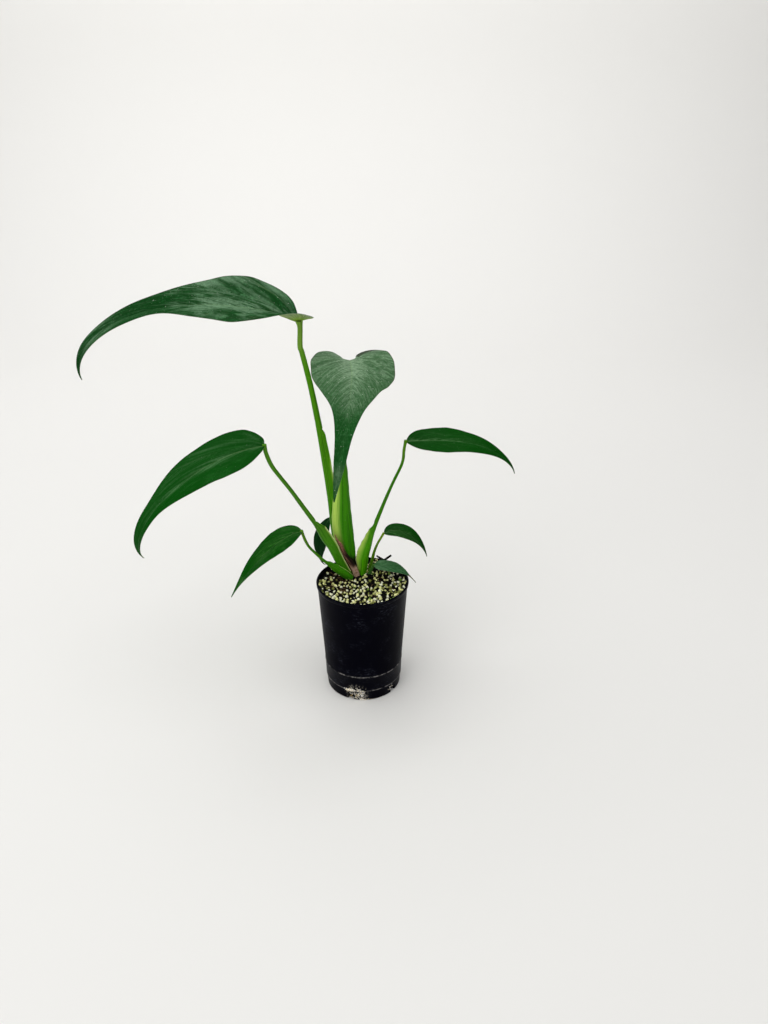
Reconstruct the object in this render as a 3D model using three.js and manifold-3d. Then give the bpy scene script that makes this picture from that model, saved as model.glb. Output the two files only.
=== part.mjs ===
// A young aroid house plant in a black nursery pot, in millimetres, +Z up, with the origin at the middle of the
// pot's base. Eight leaves, each a blade on a petiole whose sheath clasps a short stem, stand in a potting mix
// full of perlite.
import * as THREE from "three";
import { mergeVertices } from "three/addons/utils/BufferGeometryUtils.js";
import Module from "manifold-3d";

const wasm = await Module();
wasm.setup();

// Driving dimensions
const POT_HEIGHT = 120;
const RIM_RADIUS = 45;
const FOOT_RADIUS = 37.8;
const POT_WALL = 1.4;
const POT_FLOOR = 2.4;
const FOOT_BAND_TOP = 12;
const SCUFF_RING_HEIGHT = 30;
const LIP_WIDTH = 0.9;
const LIP_HEIGHT = 3.5;
const DRAIN_SLOTS = 5;
const SLOT_SIZE = 6.5;
const FIRST_SLOT = -109;
const SOIL_BELOW_RIM = 5;
const GRAINS = 150;
const GRAIN_RADIUS = [1.7, 2.6];
const STEM_CENTRE = [-6.2, 18.6];
const BLADE_THICKNESS = 0.8;
const MIDRIB_HEIGHT = 0.7;
const CLEARANCE = 0.32;

// Materials of the real pieces
function material(color, roughness) {
  return new THREE.MeshStandardMaterial({ color, roughness, metalness: 0, side: THREE.DoubleSide });
}
const blackPlastic = material(0x14161b, 0.42);
const pottingMix = material(0x2b2a22, 0.95);
const leafGreen = material(0x1d5a2c, 0.48);
const leafGrey = material(0x3f6b50, 0.5);
const petioleGreen = material(0x4f8a1f, 0.5);
const stemBuff = material(0x8a7464, 0.8);
const dryBrown = material(0x5b4334, 0.85);

const radians = THREE.MathUtils.degToRad;
const vector = (x, y, z) => new THREE.Vector3(x, y, z);

// Closed meshes to solids and back
function solidOf(positions, faces) {
  const geometry = new THREE.BufferGeometry();
  geometry.setAttribute("position", new THREE.Float32BufferAttribute(positions, 3));
  geometry.setIndex(faces);
  return solidOfGeometry(geometry);
}

function solidOfGeometry(geometry) {
  const plain = geometry.clone();
  plain.deleteAttribute("normal");
  plain.deleteAttribute("uv");
  const merged = mergeVertices(plain, 1e-4);
  const index = merged.index.array;
  const triangles = [];
  for (let i = 0; i < index.length; i += 3) {
    const [a, b, c] = [index[i], index[i + 1], index[i + 2]];
    if (a !== b && b !== c && c !== a) triangles.push(a, b, c);
  }
  return new wasm.Manifold(
    new wasm.Mesh({
      numProp: 3,
      vertProperties: new Float32Array(merged.attributes.position.array),
      triVerts: new Uint32Array(triangles),
    }),
  );
}

function geometryOf(solid) {
  const mesh = solid.getMesh();
  const geometry = new THREE.BufferGeometry();
  geometry.setAttribute("position", new THREE.BufferAttribute(new Float32Array(mesh.vertProperties), 3));
  geometry.setIndex(new THREE.BufferAttribute(new Uint32Array(mesh.triVerts), 1));
  return geometry;
}

// The same solid with every surface moved outwards, to cut clearance for it in its neighbours.
function grown(solid) {
  const geometry = geometryOf(solid);
  const { position } = geometry.attributes;
  const corners = geometry.index.array;
  const facesAt = Array.from({ length: position.count }, () => []);
  const point = (k) => vector(0, 0, 0).fromBufferAttribute(position, corners[k]);
  for (let k = 0; k < corners.length; k += 3) {
    const points = [point(k), point(k + 1), point(k + 2)];
    const normal = new THREE.Triangle(...points).getNormal(vector(0, 0, 0));
    points.forEach((p, i) => {
      const before = points[(i + 2) % 3].clone().sub(p);
      const after = points[(i + 1) % 3].clone().sub(p);
      facesAt[corners[k + i]].push({ normal, angle: after.angleTo(before) });
    });
  }
  facesAt.forEach((faces, i) => {
    const outward = vector(0, 0, 0);
    for (const { normal, angle } of faces) outward.addScaledVector(normal, angle);
    outward.normalize();
    const least = Math.min(...faces.map(({ normal }) => normal.dot(outward)));
    outward.multiplyScalar(CLEARANCE / Math.max(least, 0.5));
    position.setXYZ(i, ...point(corners.indexOf(i)).add(outward).toArray());
  });
  return solidOfGeometry(geometry);
}

function largestBody(solid) {
  const bodies = solid.decompose();
  return bodies.reduce((best, body) => (body.volume() > best.volume() ? body : best));
}

// A closed skin through rings of equal length, with flat ends cut into triangles in the plane of the section.
function loft(rings, sections) {
  const count = rings[0].length;
  const positions = rings.flat().flatMap((p) => [p.x, p.y, p.z]);
  const faces = [];
  for (let i = 0; i + 1 < rings.length; i++) {
    for (let j = 0; j < count; j++) {
      const a = i * count + j;
      const b = i * count + ((j + 1) % count);
      faces.push(a, b, b + count, a, b + count, a + count);
    }
  }
  const flat = (section) => section.map(([u, v]) => new THREE.Vector2(u, v));
  const last = (rings.length - 1) * count;
  for (const [a, b, c] of THREE.ShapeUtils.triangulateShape(flat(sections[0]), [])) faces.push(c, b, a);
  for (const [a, b, c] of THREE.ShapeUtils.triangulateShape(flat(sections.at(-1)), [])) {
    faces.push(last + a, last + b, last + c);
  }
  return solidOf(positions, faces);
}

// Pot: a thin tapered wall with a proud lip, a scuffed ring, a set-back foot band and drain slots through its edge
function potRadius(z) {
  return FOOT_RADIUS + ((RIM_RADIUS - FOOT_RADIUS) * z) / POT_HEIGHT;
}

function pot() {
  const step = 0.7;
  const edge = 0.6;
  const ridge = 0.4;
  const lipBottom = POT_HEIGHT - LIP_HEIGHT;
  const at = (z, proud = 0) => new THREE.Vector2(potRadius(z) + proud, z);
  const profile = [
    new THREE.Vector2(0, 0),
    new THREE.Vector2(FOOT_RADIUS - edge, 0),
    at(edge),
    at(FOOT_BAND_TOP - step),
    at(FOOT_BAND_TOP, step),
    at(SCUFF_RING_HEIGHT - edge, ridge),
    at(SCUFF_RING_HEIGHT + edge, ridge),
    at(SCUFF_RING_HEIGHT + 2 * edge),
    at(lipBottom - edge),
    at(lipBottom, LIP_WIDTH),
    at(POT_HEIGHT - edge, LIP_WIDTH),
    at(POT_HEIGHT, LIP_WIDTH - edge),
    at(POT_HEIGHT, -POT_WALL),
    at(POT_FLOOR, -POT_WALL),
    new THREE.Vector2(0, POT_FLOOR),
  ];
  let body = solidOfGeometry(new THREE.LatheGeometry(profile, 56).rotateX(Math.PI / 2));
  for (let i = 0; i < DRAIN_SLOTS; i++) {
    const slot = new THREE.BoxGeometry(2 * SLOT_SIZE, SLOT_SIZE, 2 * SLOT_SIZE)
      .translate(FOOT_RADIUS, 0, 0)
      .rotateZ(radians(FIRST_SLOT + (360 / DRAIN_SLOTS) * i));
    body = body.subtract(solidOfGeometry(slot));
  }
  return body;
}

// Blades
// Half outlines of a blade: [distance from the petiole / length, half width / widest half width].
const HEART = [
  [0, 0.03], [-0.05, 0.2], [-0.09, 0.5], [-0.055, 0.81], [0.035, 1], [0.15, 1.01],
  [0.28, 0.92], [0.41, 0.6], [0.54, 0.37], [0.68, 0.23], [0.84, 0.13], [1, 0.015],
];
const SMALL_LOBE = [
  [0, 0.03], [-0.03, 0.18], [-0.05, 0.42], [-0.035, 0.67], [0.035, 0.83], [0.15, 0.88],
  [0.28, 0.98], [0.41, 0.63], [0.54, 0.37], [0.68, 0.28], [0.84, 0.16], [1, 0.015],
];
const SHOULDER = [
  [0, 0.05], [0.008, 0.22], [0.035, 0.46], [0.09, 0.71], [0.17, 1.01], [0.28, 1.02],
  [0.4, 0.65], [0.52, 0.45], [0.64, 0.31], [0.77, 0.21], [0.89, 0.125], [1, 0.015],
];
const LANCE = [
  [0, 0.05], [0.008, 0.22], [0.035, 0.48], [0.09, 0.76], [0.17, 0.95], [0.28, 1],
  [0.41, 0.93], [0.55, 0.74], [0.68, 0.5], [0.8, 0.28], [0.91, 0.12], [1, 0.03],
];
const TAILED = [
  [0, 0.05], [0.008, 0.24], [0.035, 0.56], [0.09, 0.83], [0.17, 0.93], [0.28, 0.95],
  [0.41, 0.83], [0.55, 0.61], [0.68, 0.37], [0.8, 0.26], [0.91, 0.15], [1, 0.02],
];
const OVAL = [
  [0, 0.05], [0.008, 0.16], [0.035, 0.3], [0.09, 0.5], [0.17, 0.71], [0.28, 0.92],
  [0.41, 1], [0.55, 0.85], [0.68, 0.48], [0.8, 0.22], [0.91, 0.11], [1, 0.05],
];

// Each leaf: where the blade meets its petiole, how the midrib runs (heading, then pitch from base to tip in
// degrees, with the power of its bend and a hook at the drip tip), its size, how the halves stand off the midrib,
// and how deep the pouch is where the petiole joins.
const LEAVES = [
  {
    name: "leaf_1", base: [-53.5, 28, 373], length: 223, halfWidth: 35.5, outlines: [SMALL_LOBE, SHOULDER],
    heading: 186.5, sweep: 6.5, pitch: [12.5, -55.5], bend: 1.9, hook: -52, roll: -16, twist: -24,
    fold: 23, lift: 22, pouch: 4.2, wave: 1.2, waves: 3, rows: 17, colour: leafGreen,
  },
  {
    name: "leaf_2", base: [-9.5, 22, 335], length: 169, halfWidth: 34.5, outlines: [HEART, HEART],
    heading: -82, sweep: -25.5, pitch: [1, -67.5], bend: 1.4, hook: 0, roll: -1, twist: -5.5,
    fold: 10, lift: 13, pouch: 1, wave: 0.9, waves: 3, rows: 16, colour: leafGrey,
  },
  {
    name: "leaf_3", base: [-86, -8, 266.5], length: 169, halfWidth: 26, outlines: [TAILED, TAILED],
    heading: 194, sweep: 9, pitch: [-5.5, -62], bend: 0.94, hook: -64, roll: -23, twist: -2,
    fold: 15.5, lift: 9.5, pouch: 0.8, wave: 0.8, waves: 3, rows: 15, colour: leafGreen,
  },
  {
    name: "leaf_4", base: [42, 10, 263.5], length: 113, halfWidth: 15.5, outlines: [LANCE, LANCE],
    heading: -3.5, sweep: 1.5, pitch: [4, -57], bend: 2, hook: 0, roll: 23, twist: 5,
    fold: 12.5, lift: 7, pouch: 0.5, wave: 0.6, waves: 3, rows: 12, colour: leafGreen,
  },
  {
    name: "leaf_5", base: [-56, -14, 182.5], length: 94, halfWidth: 16, outlines: [LANCE, LANCE],
    heading: 204, sweep: -2, pitch: [7.5, -58], bend: 0.45, hook: 0, roll: -8.5, twist: 5.5,
    fold: 14, lift: 5, pouch: 0.5, wave: 0.5, waves: 2, rows: 11, colour: leafGreen,
  },
  {
    name: "leaf_6", base: [-33.5, 46, 166], length: 61, halfWidth: 8.5, outlines: [OVAL, OVAL],
    heading: 235.5, sweep: 1, pitch: [-19.5, -125.5], bend: 0.85, hook: -21, roll: 0, twist: -3,
    fold: 11, lift: 0, pouch: 0.3, wave: 0.3, waves: 2, rows: 10, colour: leafGreen,
  },
  {
    name: "leaf_7", base: [21.5, 32, 155.5], length: 58, halfWidth: 10, outlines: [LANCE, LANCE],
    heading: -11.5, sweep: -1, pitch: [50, -75], bend: 0.65, hook: 0, roll: 14.5, twist: 0.5,
    fold: 14.5, lift: 6, pouch: 0.3, wave: 0.3, waves: 2, rows: 10, colour: leafGreen,
  },
  {
    name: "leaf_8", base: [11.5, 13.5, 129], length: 48, halfWidth: 9, outlines: [LANCE, LANCE],
    heading: -14.5, sweep: 1, pitch: [14, -54], bend: 1.1, hook: 0, roll: 9, twist: -9.5,
    fold: 9.5, lift: 5.5, pouch: 0.3, wave: 0.3, waves: 2, rows: 9, colour: leafGrey,
  },
];
const COLUMNS = [0, 0.12, 0.38, 0.7, 1];
const HALF_DROOP = 20;

// The midrib, walked from the base in short straight steps.
function midribOf(leaf) {
  const steps = 80;
  const points = [vector(...leaf.base)];
  for (let i = 0; i < steps; i++) {
    const ahead = directionAt(leaf, (i + 0.5) / steps).multiplyScalar(leaf.length / steps);
    points.push(points[i].clone().add(ahead));
  }
  return points;
}

function directionAt(leaf, u) {
  const [start, end] = leaf.pitch;
  const pitch = radians(start + (end - start) * u ** leaf.bend + leaf.hook * u ** 10);
  const heading = radians(leaf.heading + leaf.sweep * u);
  return vector(Math.cos(pitch) * Math.cos(heading), Math.cos(pitch) * Math.sin(heading), Math.sin(pitch));
}

// A point of the blade at distance a along the midrib and b across it, raised off the middle surface.
function bladePoint(leaf, midrib, a, b, raise) {
  const u = THREE.MathUtils.clamp(a / leaf.length, 0, 1);
  const place = u * (midrib.length - 1);
  const before = Math.min(Math.floor(place), midrib.length - 2);
  const ahead = directionAt(leaf, u);
  const heading = radians(leaf.heading + leaf.sweep * u);
  const level = vector(-Math.sin(heading), Math.cos(heading), 0);
  const roll = radians(leaf.roll + leaf.twist * u);
  const across = level.applyAxisAngle(ahead, roll);
  const up = ahead.clone().cross(across);
  const side = b < 0 ? -1 : 1;
  const reach = Math.abs(b);
  const rise = leaf.lift * Math.exp(-(((Math.max(a / leaf.length, -0.02) + 0.02) / 0.13) ** 2));
  const slope = radians(leaf.fold + rise);
  const curl = radians(HALF_DROOP) / leaf.halfWidth;
  const out = (Math.sin(slope) - Math.sin(slope - curl * reach)) / curl;
  const ripple = Math.sin(2 * Math.PI * ((leaf.waves * a) / leaf.length + 0.25 * side));
  const pouch = leaf.pouch * Math.exp(-((a / leaf.length / 0.07) ** 2) - (reach / leaf.halfWidth / 0.4) ** 2);
  const height = (Math.cos(slope - curl * reach) - Math.cos(slope)) / curl
    + leaf.wave * (reach / leaf.halfWidth) ** 2 * ripple - pouch;
  const tilt = reach > 0 ? slope - curl * reach : 0;
  return midrib[before].clone()
    .lerp(midrib[before + 1], place - before)
    .addScaledVector(ahead, Math.min(a, 0))
    .addScaledVector(across, side * out - side * Math.sin(tilt) * raise)
    .addScaledVector(up, height + Math.cos(tilt) * raise);
}

// The half blade as rows of [a, b] that fan out from the petiole to the margin.
function halfRows(leaf, outline) {
  const curve = new THREE.SplineCurve(outline.map(([a, b]) => new THREE.Vector2(a, b)));
  const rear = 2 / (outline.length - 1);
  const start = curve.getPoint(0);
  const back = curve.getPoint(rear);
  const rows = [];
  for (let i = 0; i <= leaf.rows; i++) {
    const f = i / leaf.rows;
    const root = f ** 1.35;
    const edge = curve.getPoint(rear + (1 - rear) * f);
    const fade = Math.max(0, 1 - f / 0.35) ** 2;
    rows.push(COLUMNS.map((v) => {
      const bowed = curve.getPoint(rear * v).sub(start.clone().lerp(back, v));
      const a = root + (edge.x - root) * v + fade * bowed.x;
      const b = edge.y * v + fade * (bowed.y + start.y * (1 - v)) * (v > 0 ? 1 : 0);
      return [a * leaf.length, b * leaf.halfWidth];
    }));
  }
  return rows;
}

// The whole blade: an upper and a lower face split into triangles alike, joined all round the margin.
function blade(leaf) {
  const midrib = midribOf(leaf);
  const [near, far] = leaf.outlines.map((outline) => halfRows(leaf, outline));
  const grid = near.map((row, i) => [
    ...far[i].slice(1).reverse().map(([a, b]) => [a, -b]),
    ...row,
  ]);
  const width = grid[0].length;
  const positions = [];
  for (const face of [1, -1]) {
    for (const row of grid) {
      for (const [a, b] of row) {
        const rib = face < 0 && b === 0 ? MIDRIB_HEIGHT * (1 - a / leaf.length) : 0;
        const p = bladePoint(leaf, midrib, a, b, face * (BLADE_THICKNESS / 2) - rib);
        positions.push(p.x, p.y, p.z);
      }
    }
  }
  const layer = grid.length * width;
  const faces = [];
  for (let i = 0; i + 1 < grid.length; i++) {
    for (let j = 0; j + 1 < width; j++) {
      const [p, q, r, s] = [i * width + j, i * width + j + 1, (i + 1) * width + j + 1, (i + 1) * width + j];
      const mirrored = j >= (width - 1) / 2;
      const pair = mirrored ? [[p, s, r], [p, r, q]] : [[p, s, q], [q, s, r]];
      for (const [a, b, c] of pair) faces.push(a, b, c, layer + a, layer + c, layer + b);
    }
  }
  const wall = (a, b) => faces.push(a, b, layer + b, a, layer + b, layer + a);
  for (let j = 0; j + 1 < width; j++) {
    wall(j, j + 1);
    wall(layer - width + j + 1, layer - width + j);
  }
  for (let i = 0; i + 1 < grid.length; i++) {
    wall((i + 1) * width, i * width);
    wall(i * width + width - 1, (i + 1) * width + width - 1);
  }
  return solidOf(positions, faces);
}

// Petioles
// Each row: a point of the centre line, half the width, how far the back and the front stand off the centre
// line, and how far the front is hollowed (0 a round stalk, 1 an open sheath). The back faces the azimuth, in
// degrees.
const PETIOLES = {
  leaf_1: {
    azimuth: 195,
    rows: [
      [-53.5, 28, 369.5, 2.6, 2.4, 2.4, 0], [-53, 28, 361.5, 2.3, 2.3, 2.3, 0],
      [-53.7, 27.8, 347, 2.4, 2.4, 2.4, 0],
      [-52, 27.7, 340, 2.4, 2.4, 2.4, 0], [-45.8, 27.2, 310.5, 2.6, 2.6, 2.6, 0],
      [-40.8, 26.7, 280, 2.9, 2.9, 2.9, 0],
      [-39.4, 26.6, 270.5, 3.1, 3.1, 3.1, 0], [-38.4, 26.5, 263, 3.3, 3.1, 5.4, 0.8],
      [-34.5, 26, 231.5, 3.6, 3.2, 5.4, 1],
      [-30.6, 25.5, 198, 4.2, 3.5, 5.7, 1], [-27.7, 25, 163, 4.4, 3.8, 5.9, 1],
      [-25, 24.7, 144, 4.4, 3.8, 5.6, 1],
      [-18.5, 23.4, 118, 4.2, 3.6, 4, 0.6], [-12.5, 21.4, 103, 3.6, 3.2, 3.2, 0.3],
    ],
  },
  leaf_2: {
    azimuth: -78,
    rows: [
      [-9.5, 22, 335.8, 2.6, 2.4, 2.4, 0], [-9.8, 22.4, 329, 2.3, 2.3, 2.3, 0],
      [-10.5, 22.4, 316, 2.6, 2.6, 2.6, 0],
      [-14, 22, 292, 2.6, 2.6, 2.6, 0], [-17, 21.6, 264, 2.9, 2.9, 2.9, 0],
      [-18.6, 21.2, 246, 3.4, 3.4, 3, 0.1],
      [-19, 21, 238, 5, 4.2, 2.2, 0.7], [-19.4, 21, 225.5, 6.7, 5, 2.4, 1],
      [-19.7, 20.7, 208.5, 8, 5.4, 2.5, 1],
      [-20, 20.5, 191.5, 9.5, 5.8, 2.6, 1], [-20, 20.4, 177.5, 10.7, 6, 2.6, 1],
      [-19, 20.2, 162, 11, 6, 2.4, 1],
      [-16.8, 20, 147.5, 9.8, 5.8, 2.2, 1], [-13.6, 19.8, 131, 7.7, 5.4, 2.2, 0.9],
      [-9.6, 19.6, 115, 6, 5, 2.6, 0.6],
      [-7.5, 19.5, 103, 4.6, 4.2, 3, 0.4],
    ],
  },
  leaf_3: {
    azimuth: 215,
    rows: [
      [-86.3, -8, 267, 2.1, 2, 2, 0], [-85.7, -7.6, 260.5, 1.9, 1.9, 1.9, 0],
      [-84, -7.2, 253.5, 2, 2, 2, 0],
      [-81, -6, 245, 2, 2, 2, 0], [-76.4, -4.8, 236.7, 1.9, 1.9, 1.9, 0],
      [-65.7, -2, 219, 1.9, 1.9, 1.9, 0],
      [-55.8, 0.8, 201, 2.1, 2.1, 2.1, 0], [-47.6, 2.7, 186.5, 2.3, 2.3, 2.3, 0],
      [-44.4, 3.4, 181, 2.8, 2.4, 3.4, 0.7],
      [-41, 4.6, 173.5, 3.6, 2.8, 6.1, 1], [-37, 5.6, 164, 4.2, 3, 7.2, 1],
      [-31.3, 6.6, 154.7, 4.6, 3.2, 6, 1],
      [-27, 7.8, 145, 4.8, 3.4, 4.9, 1], [-23.6, 9.2, 136, 4.8, 3.4, 4.7, 1],
      [-17.8, 11.8, 122.5, 4.6, 3.2, 4.4, 1],
      [-12.5, 14.6, 110, 4, 3, 3.4, 0.7], [-9.5, 16.5, 101, 3.4, 2.8, 2.8, 0.4],
    ],
  },
  leaf_4: {
    azimuth: -35,
    rows: [
      [41.6, 10, 264, 1.9, 1.8, 1.8, 0], [40.6, 10, 259.5, 1.4, 1.4, 1.4, 0],
      [39.7, 10.2, 253, 1.4, 1.4, 1.4, 0],
      [39.3, 10.6, 246, 1.4, 1.4, 1.4, 0], [37.3, 11, 238, 1.4, 1.4, 1.4, 0],
      [30, 11.8, 221, 1.4, 1.4, 1.4, 0],
      [23.3, 12.6, 204, 1.6, 1.6, 1.6, 0], [14.5, 13.6, 180, 2, 2, 2, 0],
      [12.6, 13.8, 174.5, 2.3, 2.1, 2.2, 0.4],
      [10, 14.2, 167.5, 3, 2.5, 3.3, 0.9], [7.9, 14.4, 160.5, 3.6, 2.8, 4.4, 1],
      [5.6, 14.8, 151, 4.2, 3.2, 6.6, 1],
      [3.3, 15.2, 142, 4.8, 3.4, 7.9, 1], [1.7, 15.6, 133.5, 5, 3.6, 7.8, 1],
      [0.4, 16.2, 124, 4.6, 3.6, 5, 1],
      [-2, 17.4, 111, 4, 3.4, 3.4, 0.7], [-4, 18.2, 101, 3.4, 3, 2.8, 0.4],
    ],
  },
  leaf_5: {
    azimuth: 255,
    rows: [
      [-56.5, -14.2, 182.5, 1.8, 1.7, 1.7, 0], [-55.4, -12.6, 178, 1.4, 1.4, 1.4, 0],
      [-53.6, -10.6, 170.5, 1.4, 1.4, 1.4, 0],
      [-50.8, -7.6, 162, 1.3, 1.3, 1.3, 0], [-46.8, -4.6, 155, 1.3, 1.3, 1.3, 0],
      [-39.6, -0.8, 144.5, 1.4, 1.4, 1.4, 0],
      [-36, 0.6, 140.4, 1.7, 1.6, 1.6, 0.2], [-31.6, 2, 136.4, 3, 2, 1.6, 0.8],
      [-25.6, 4.4, 130, 4.4, 2.6, 1.8, 1],
      [-18.8, 7.4, 122.8, 4.7, 3, 2, 1], [-13.6, 10.8, 116, 4.4, 3, 2, 1],
      [-10.2, 13.4, 108.5, 3.6, 2.8, 2, 0.7],
      [-8.6, 15, 102, 3, 2.6, 2, 0.4],
    ],
  },
  leaf_6: {
    azimuth: 150,
    rows: [
      [-33.3, 46, 166.6, 1.6, 1.5, 1.5, 0], [-33, 46, 163, 1.4, 1.4, 1.4, 0],
      [-30, 42.3, 151, 1.5, 1.5, 1.5, 0],
      [-25.2, 37.2, 136, 1.8, 1.8, 1.8, 0], [-20, 32.2, 123, 2.6, 2.2, 2.2, 0.4],
      [-15, 28, 112, 2.8, 2.4, 2.4, 0.4],
      [-11, 24.6, 102, 2.4, 2.2, 2.2, 0.3],
    ],
  },
  leaf_7: {
    azimuth: -20,
    rows: [
      [21.2, 32, 156, 1.4, 1.3, 1.3, 0], [19, 31.2, 152, 1.2, 1.2, 1.2, 0],
      [14.5, 29.8, 144, 1.2, 1.2, 1.2, 0],
      [11.3, 28.2, 135.8, 1.4, 1.4, 1.4, 0], [9, 26.8, 127, 1.7, 1.7, 1.7, 0.1],
      [6.2, 25, 117.5, 2.4, 2, 2, 0.4],
      [1.5, 22.8, 105, 2.6, 2.2, 2.2, 0.3],
    ],
  },
  leaf_8: {
    azimuth: -60,
    rows: [
      [11.4, 13.5, 129.6, 1.4, 1.3, 1.3, 0], [10.4, 13.8, 127.6, 1.3, 1.3, 1.3, 0],
      [8.6, 15.2, 122.5, 1.5, 1.5, 1.5, 0.1],
      [6, 17.2, 116, 2, 1.8, 1.8, 0.4], [2.6, 19, 109, 2.2, 1.9, 1.9, 0.4],
      [0, 19.6, 103, 2.2, 1.9, 1.9, 0.3],
    ],
  },
  cataphyll: {
    azimuth: 235,
    rows: [
      [-28, 8.4, 170.4, 0.6, 0.5, 0.5, 0], [-25.5, 9, 163.6, 1.4, 0.9, 0.7, 0.4],
      [-21.7, 9.8, 154, 2.3, 1.3, 1.2, 1],
      [-16.2, 10.8, 141.5, 2.8, 1.8, 1.4, 1], [-11.1, 11.8, 130, 3.2, 2.2, 1.6, 1],
      [-7.5, 12.8, 119, 3.4, 2.4, 1.8, 0.8],
      [-6, 15, 107, 3, 2.2, 1.8, 0.6],
    ],
  },
};
const SHEATH_WALL = 1.7;

// Section of a petiole in its own plane, counter-clockwise: seven points round the back, then five along the
// front.
function petioleSection(width, back, front, open) {
  const wall = Math.min(SHEATH_WALL, back);
  const points = [1, 0.67, 0.33, 0, -0.33, -0.67, -1].map((k) => [
    width * Math.sin(radians(90 * k)) * (1 - 0.1 * open * Math.abs(k) ** 6),
    back * Math.cos(radians(90 * k)) - open * front * Math.abs(k) ** 4,
  ]);
  for (const k of [-1, -0.5, 0, 0.5, 1]) {
    const round = [width * Math.sin(radians(72 * k)), -front * Math.cos(radians(72 * k))];
    const hollow = [
      (width - 0.8 * wall) * Math.sin(radians(80 * k)),
      (back - wall) * Math.cos(radians(80 * k)) - 0.92 * front * Math.abs(k) ** 4,
    ];
    points.push(round.map((value, i) => THREE.MathUtils.lerp(value, hollow[i], open)));
  }
  return points;
}

function petiole({ azimuth, rows }) {
  const centres = rows.map(([x, y, z]) => vector(x, y, z));
  const curve = new THREE.CatmullRomCurve3(centres, false, "catmullrom", 0.5);
  const facing = vector(Math.cos(radians(azimuth)), Math.sin(radians(azimuth)), 0);
  const sections = rows.map((row) => petioleSection(...row.slice(3)));
  const rings = centres.map((centre, i) => {
    const along = curve.getTangent(i / (rows.length - 1)).negate();
    const back = facing.clone().addScaledVector(along, -facing.dot(along)).normalize();
    const side = back.clone().cross(along);
    return sections[i].map(([u, v]) => centre.clone().addScaledVector(side, u).addScaledVector(back, v));
  });
  return loft(rings.reverse(), sections.reverse());
}

// Stem: the short stump that all the leaf bases clasp, its worn top just above the mix
function stem() {
  const profile = [[0, 86], [4, 87], [6.6, 92], [7, 100], [6, 108], [4, 113], [2, 115.4], [0, 116]];
  const points = profile.map(([r, z]) => new THREE.Vector2(r, z));
  const turned = new THREE.LatheGeometry(points, 14).rotateX(Math.PI / 2);
  return solidOfGeometry(turned.translate(...STEM_CENTRE, 0));
}

// Potting mix: a plug that fills the pot, its top uneven, with perlite grains sunk into it by a seeded rule
function seeded(seed) {
  let state = seed;
  return () => {
    state = (Math.imul(state, 1664525) + 1013904223) >>> 0;
    return state / 4294967296;
  };
}

// The mix's own radius inside the wall, and the height of its uneven top, heaped a little round the stem.
function mixRadius(z) {
  return potRadius(z) - POT_WALL - CLEARANCE;
}

function mixHeight(x, y) {
  const swell = 0.9 * Math.sin(x / 9 + 1) * Math.cos(y / 11) + 0.6 * Math.sin((x + y) / 6);
  const heap = 2.2 * Math.exp(-((x - STEM_CENTRE[0]) ** 2 + (y - STEM_CENTRE[1]) ** 2) / 260);
  return POT_HEIGHT - SOIL_BELOW_RIM + swell + heap;
}

function grain(random) {
  const angle = 2 * Math.PI * random();
  const radius = THREE.MathUtils.lerp(...GRAIN_RADIUS, random());
  const room = mixRadius(POT_HEIGHT - SOIL_BELOW_RIM) - CLEARANCE - 1.2 * radius;
  const reach = room * Math.sqrt(random());
  const [x, y] = [reach * Math.cos(angle), reach * Math.sin(angle)];
  const shape = new THREE.OctahedronGeometry(radius)
    .scale(1, 0.8 + 0.4 * random(), 0.85)
    .rotateX(0.9 * (random() - 0.5))
    .rotateY(0.9 * (random() - 0.5))
    .rotateZ(2 * Math.PI * random());
  return solidOfGeometry(shape.translate(x, y, mixHeight(x, y) + radius * 0.1));
}

// One arm of the forked bark twig.
function twigArm(from, to) {
  const axis = vector(...to).sub(vector(...from));
  const stick = new THREE.CylinderGeometry(0.6, 0.9, axis.length(), 5);
  stick.applyQuaternion(new THREE.Quaternion().setFromUnitVectors(vector(0, 1, 0), axis.clone().normalize()));
  return solidOfGeometry(stick.translate(...vector(...from).addScaledVector(axis, 0.5).toArray()));
}

function mix() {
  const bottom = POT_FLOOR + CLEARANCE;
  const top = POT_HEIGHT - SOIL_BELOW_RIM;
  const rings = [mixRadius(top), 39, 34, 28, 21, 14, 7, 0].map((r) => new THREE.Vector2(r, top));
  const profile = [new THREE.Vector2(0, bottom), new THREE.Vector2(mixRadius(bottom), bottom), ...rings];
  const plug = new THREE.LatheGeometry(profile, 40).rotateX(Math.PI / 2);
  const position = plug.attributes.position;
  for (let i = 0; i < position.count; i++) {
    if (position.getZ(i) > top - 1) position.setZ(i, mixHeight(position.getX(i), position.getY(i)));
  }
  let body = solidOfGeometry(plug);
  const random = seeded(41);
  for (let i = 0; i < GRAINS; i++) body = body.add(grain(random));
  const fork = [21.5, 33, 123.4];
  const ends = [[21.5, 32.5, 109], [13.5, 34.4, 128], [28.7, 34.4, 128.4]];
  for (const end of ends) body = body.add(twigArm(fork, end));
  return body;
}

// Assembly: pieces in front keep their shape, and each one behind is trimmed clear of them where they crowd at
// the stem
const plant = new THREE.Group();
function place(name, solid, finish) {
  const mesh = new THREE.Mesh(geometryOf(solid), finish);
  mesh.name = name;
  plant.add(mesh);
}

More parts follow.
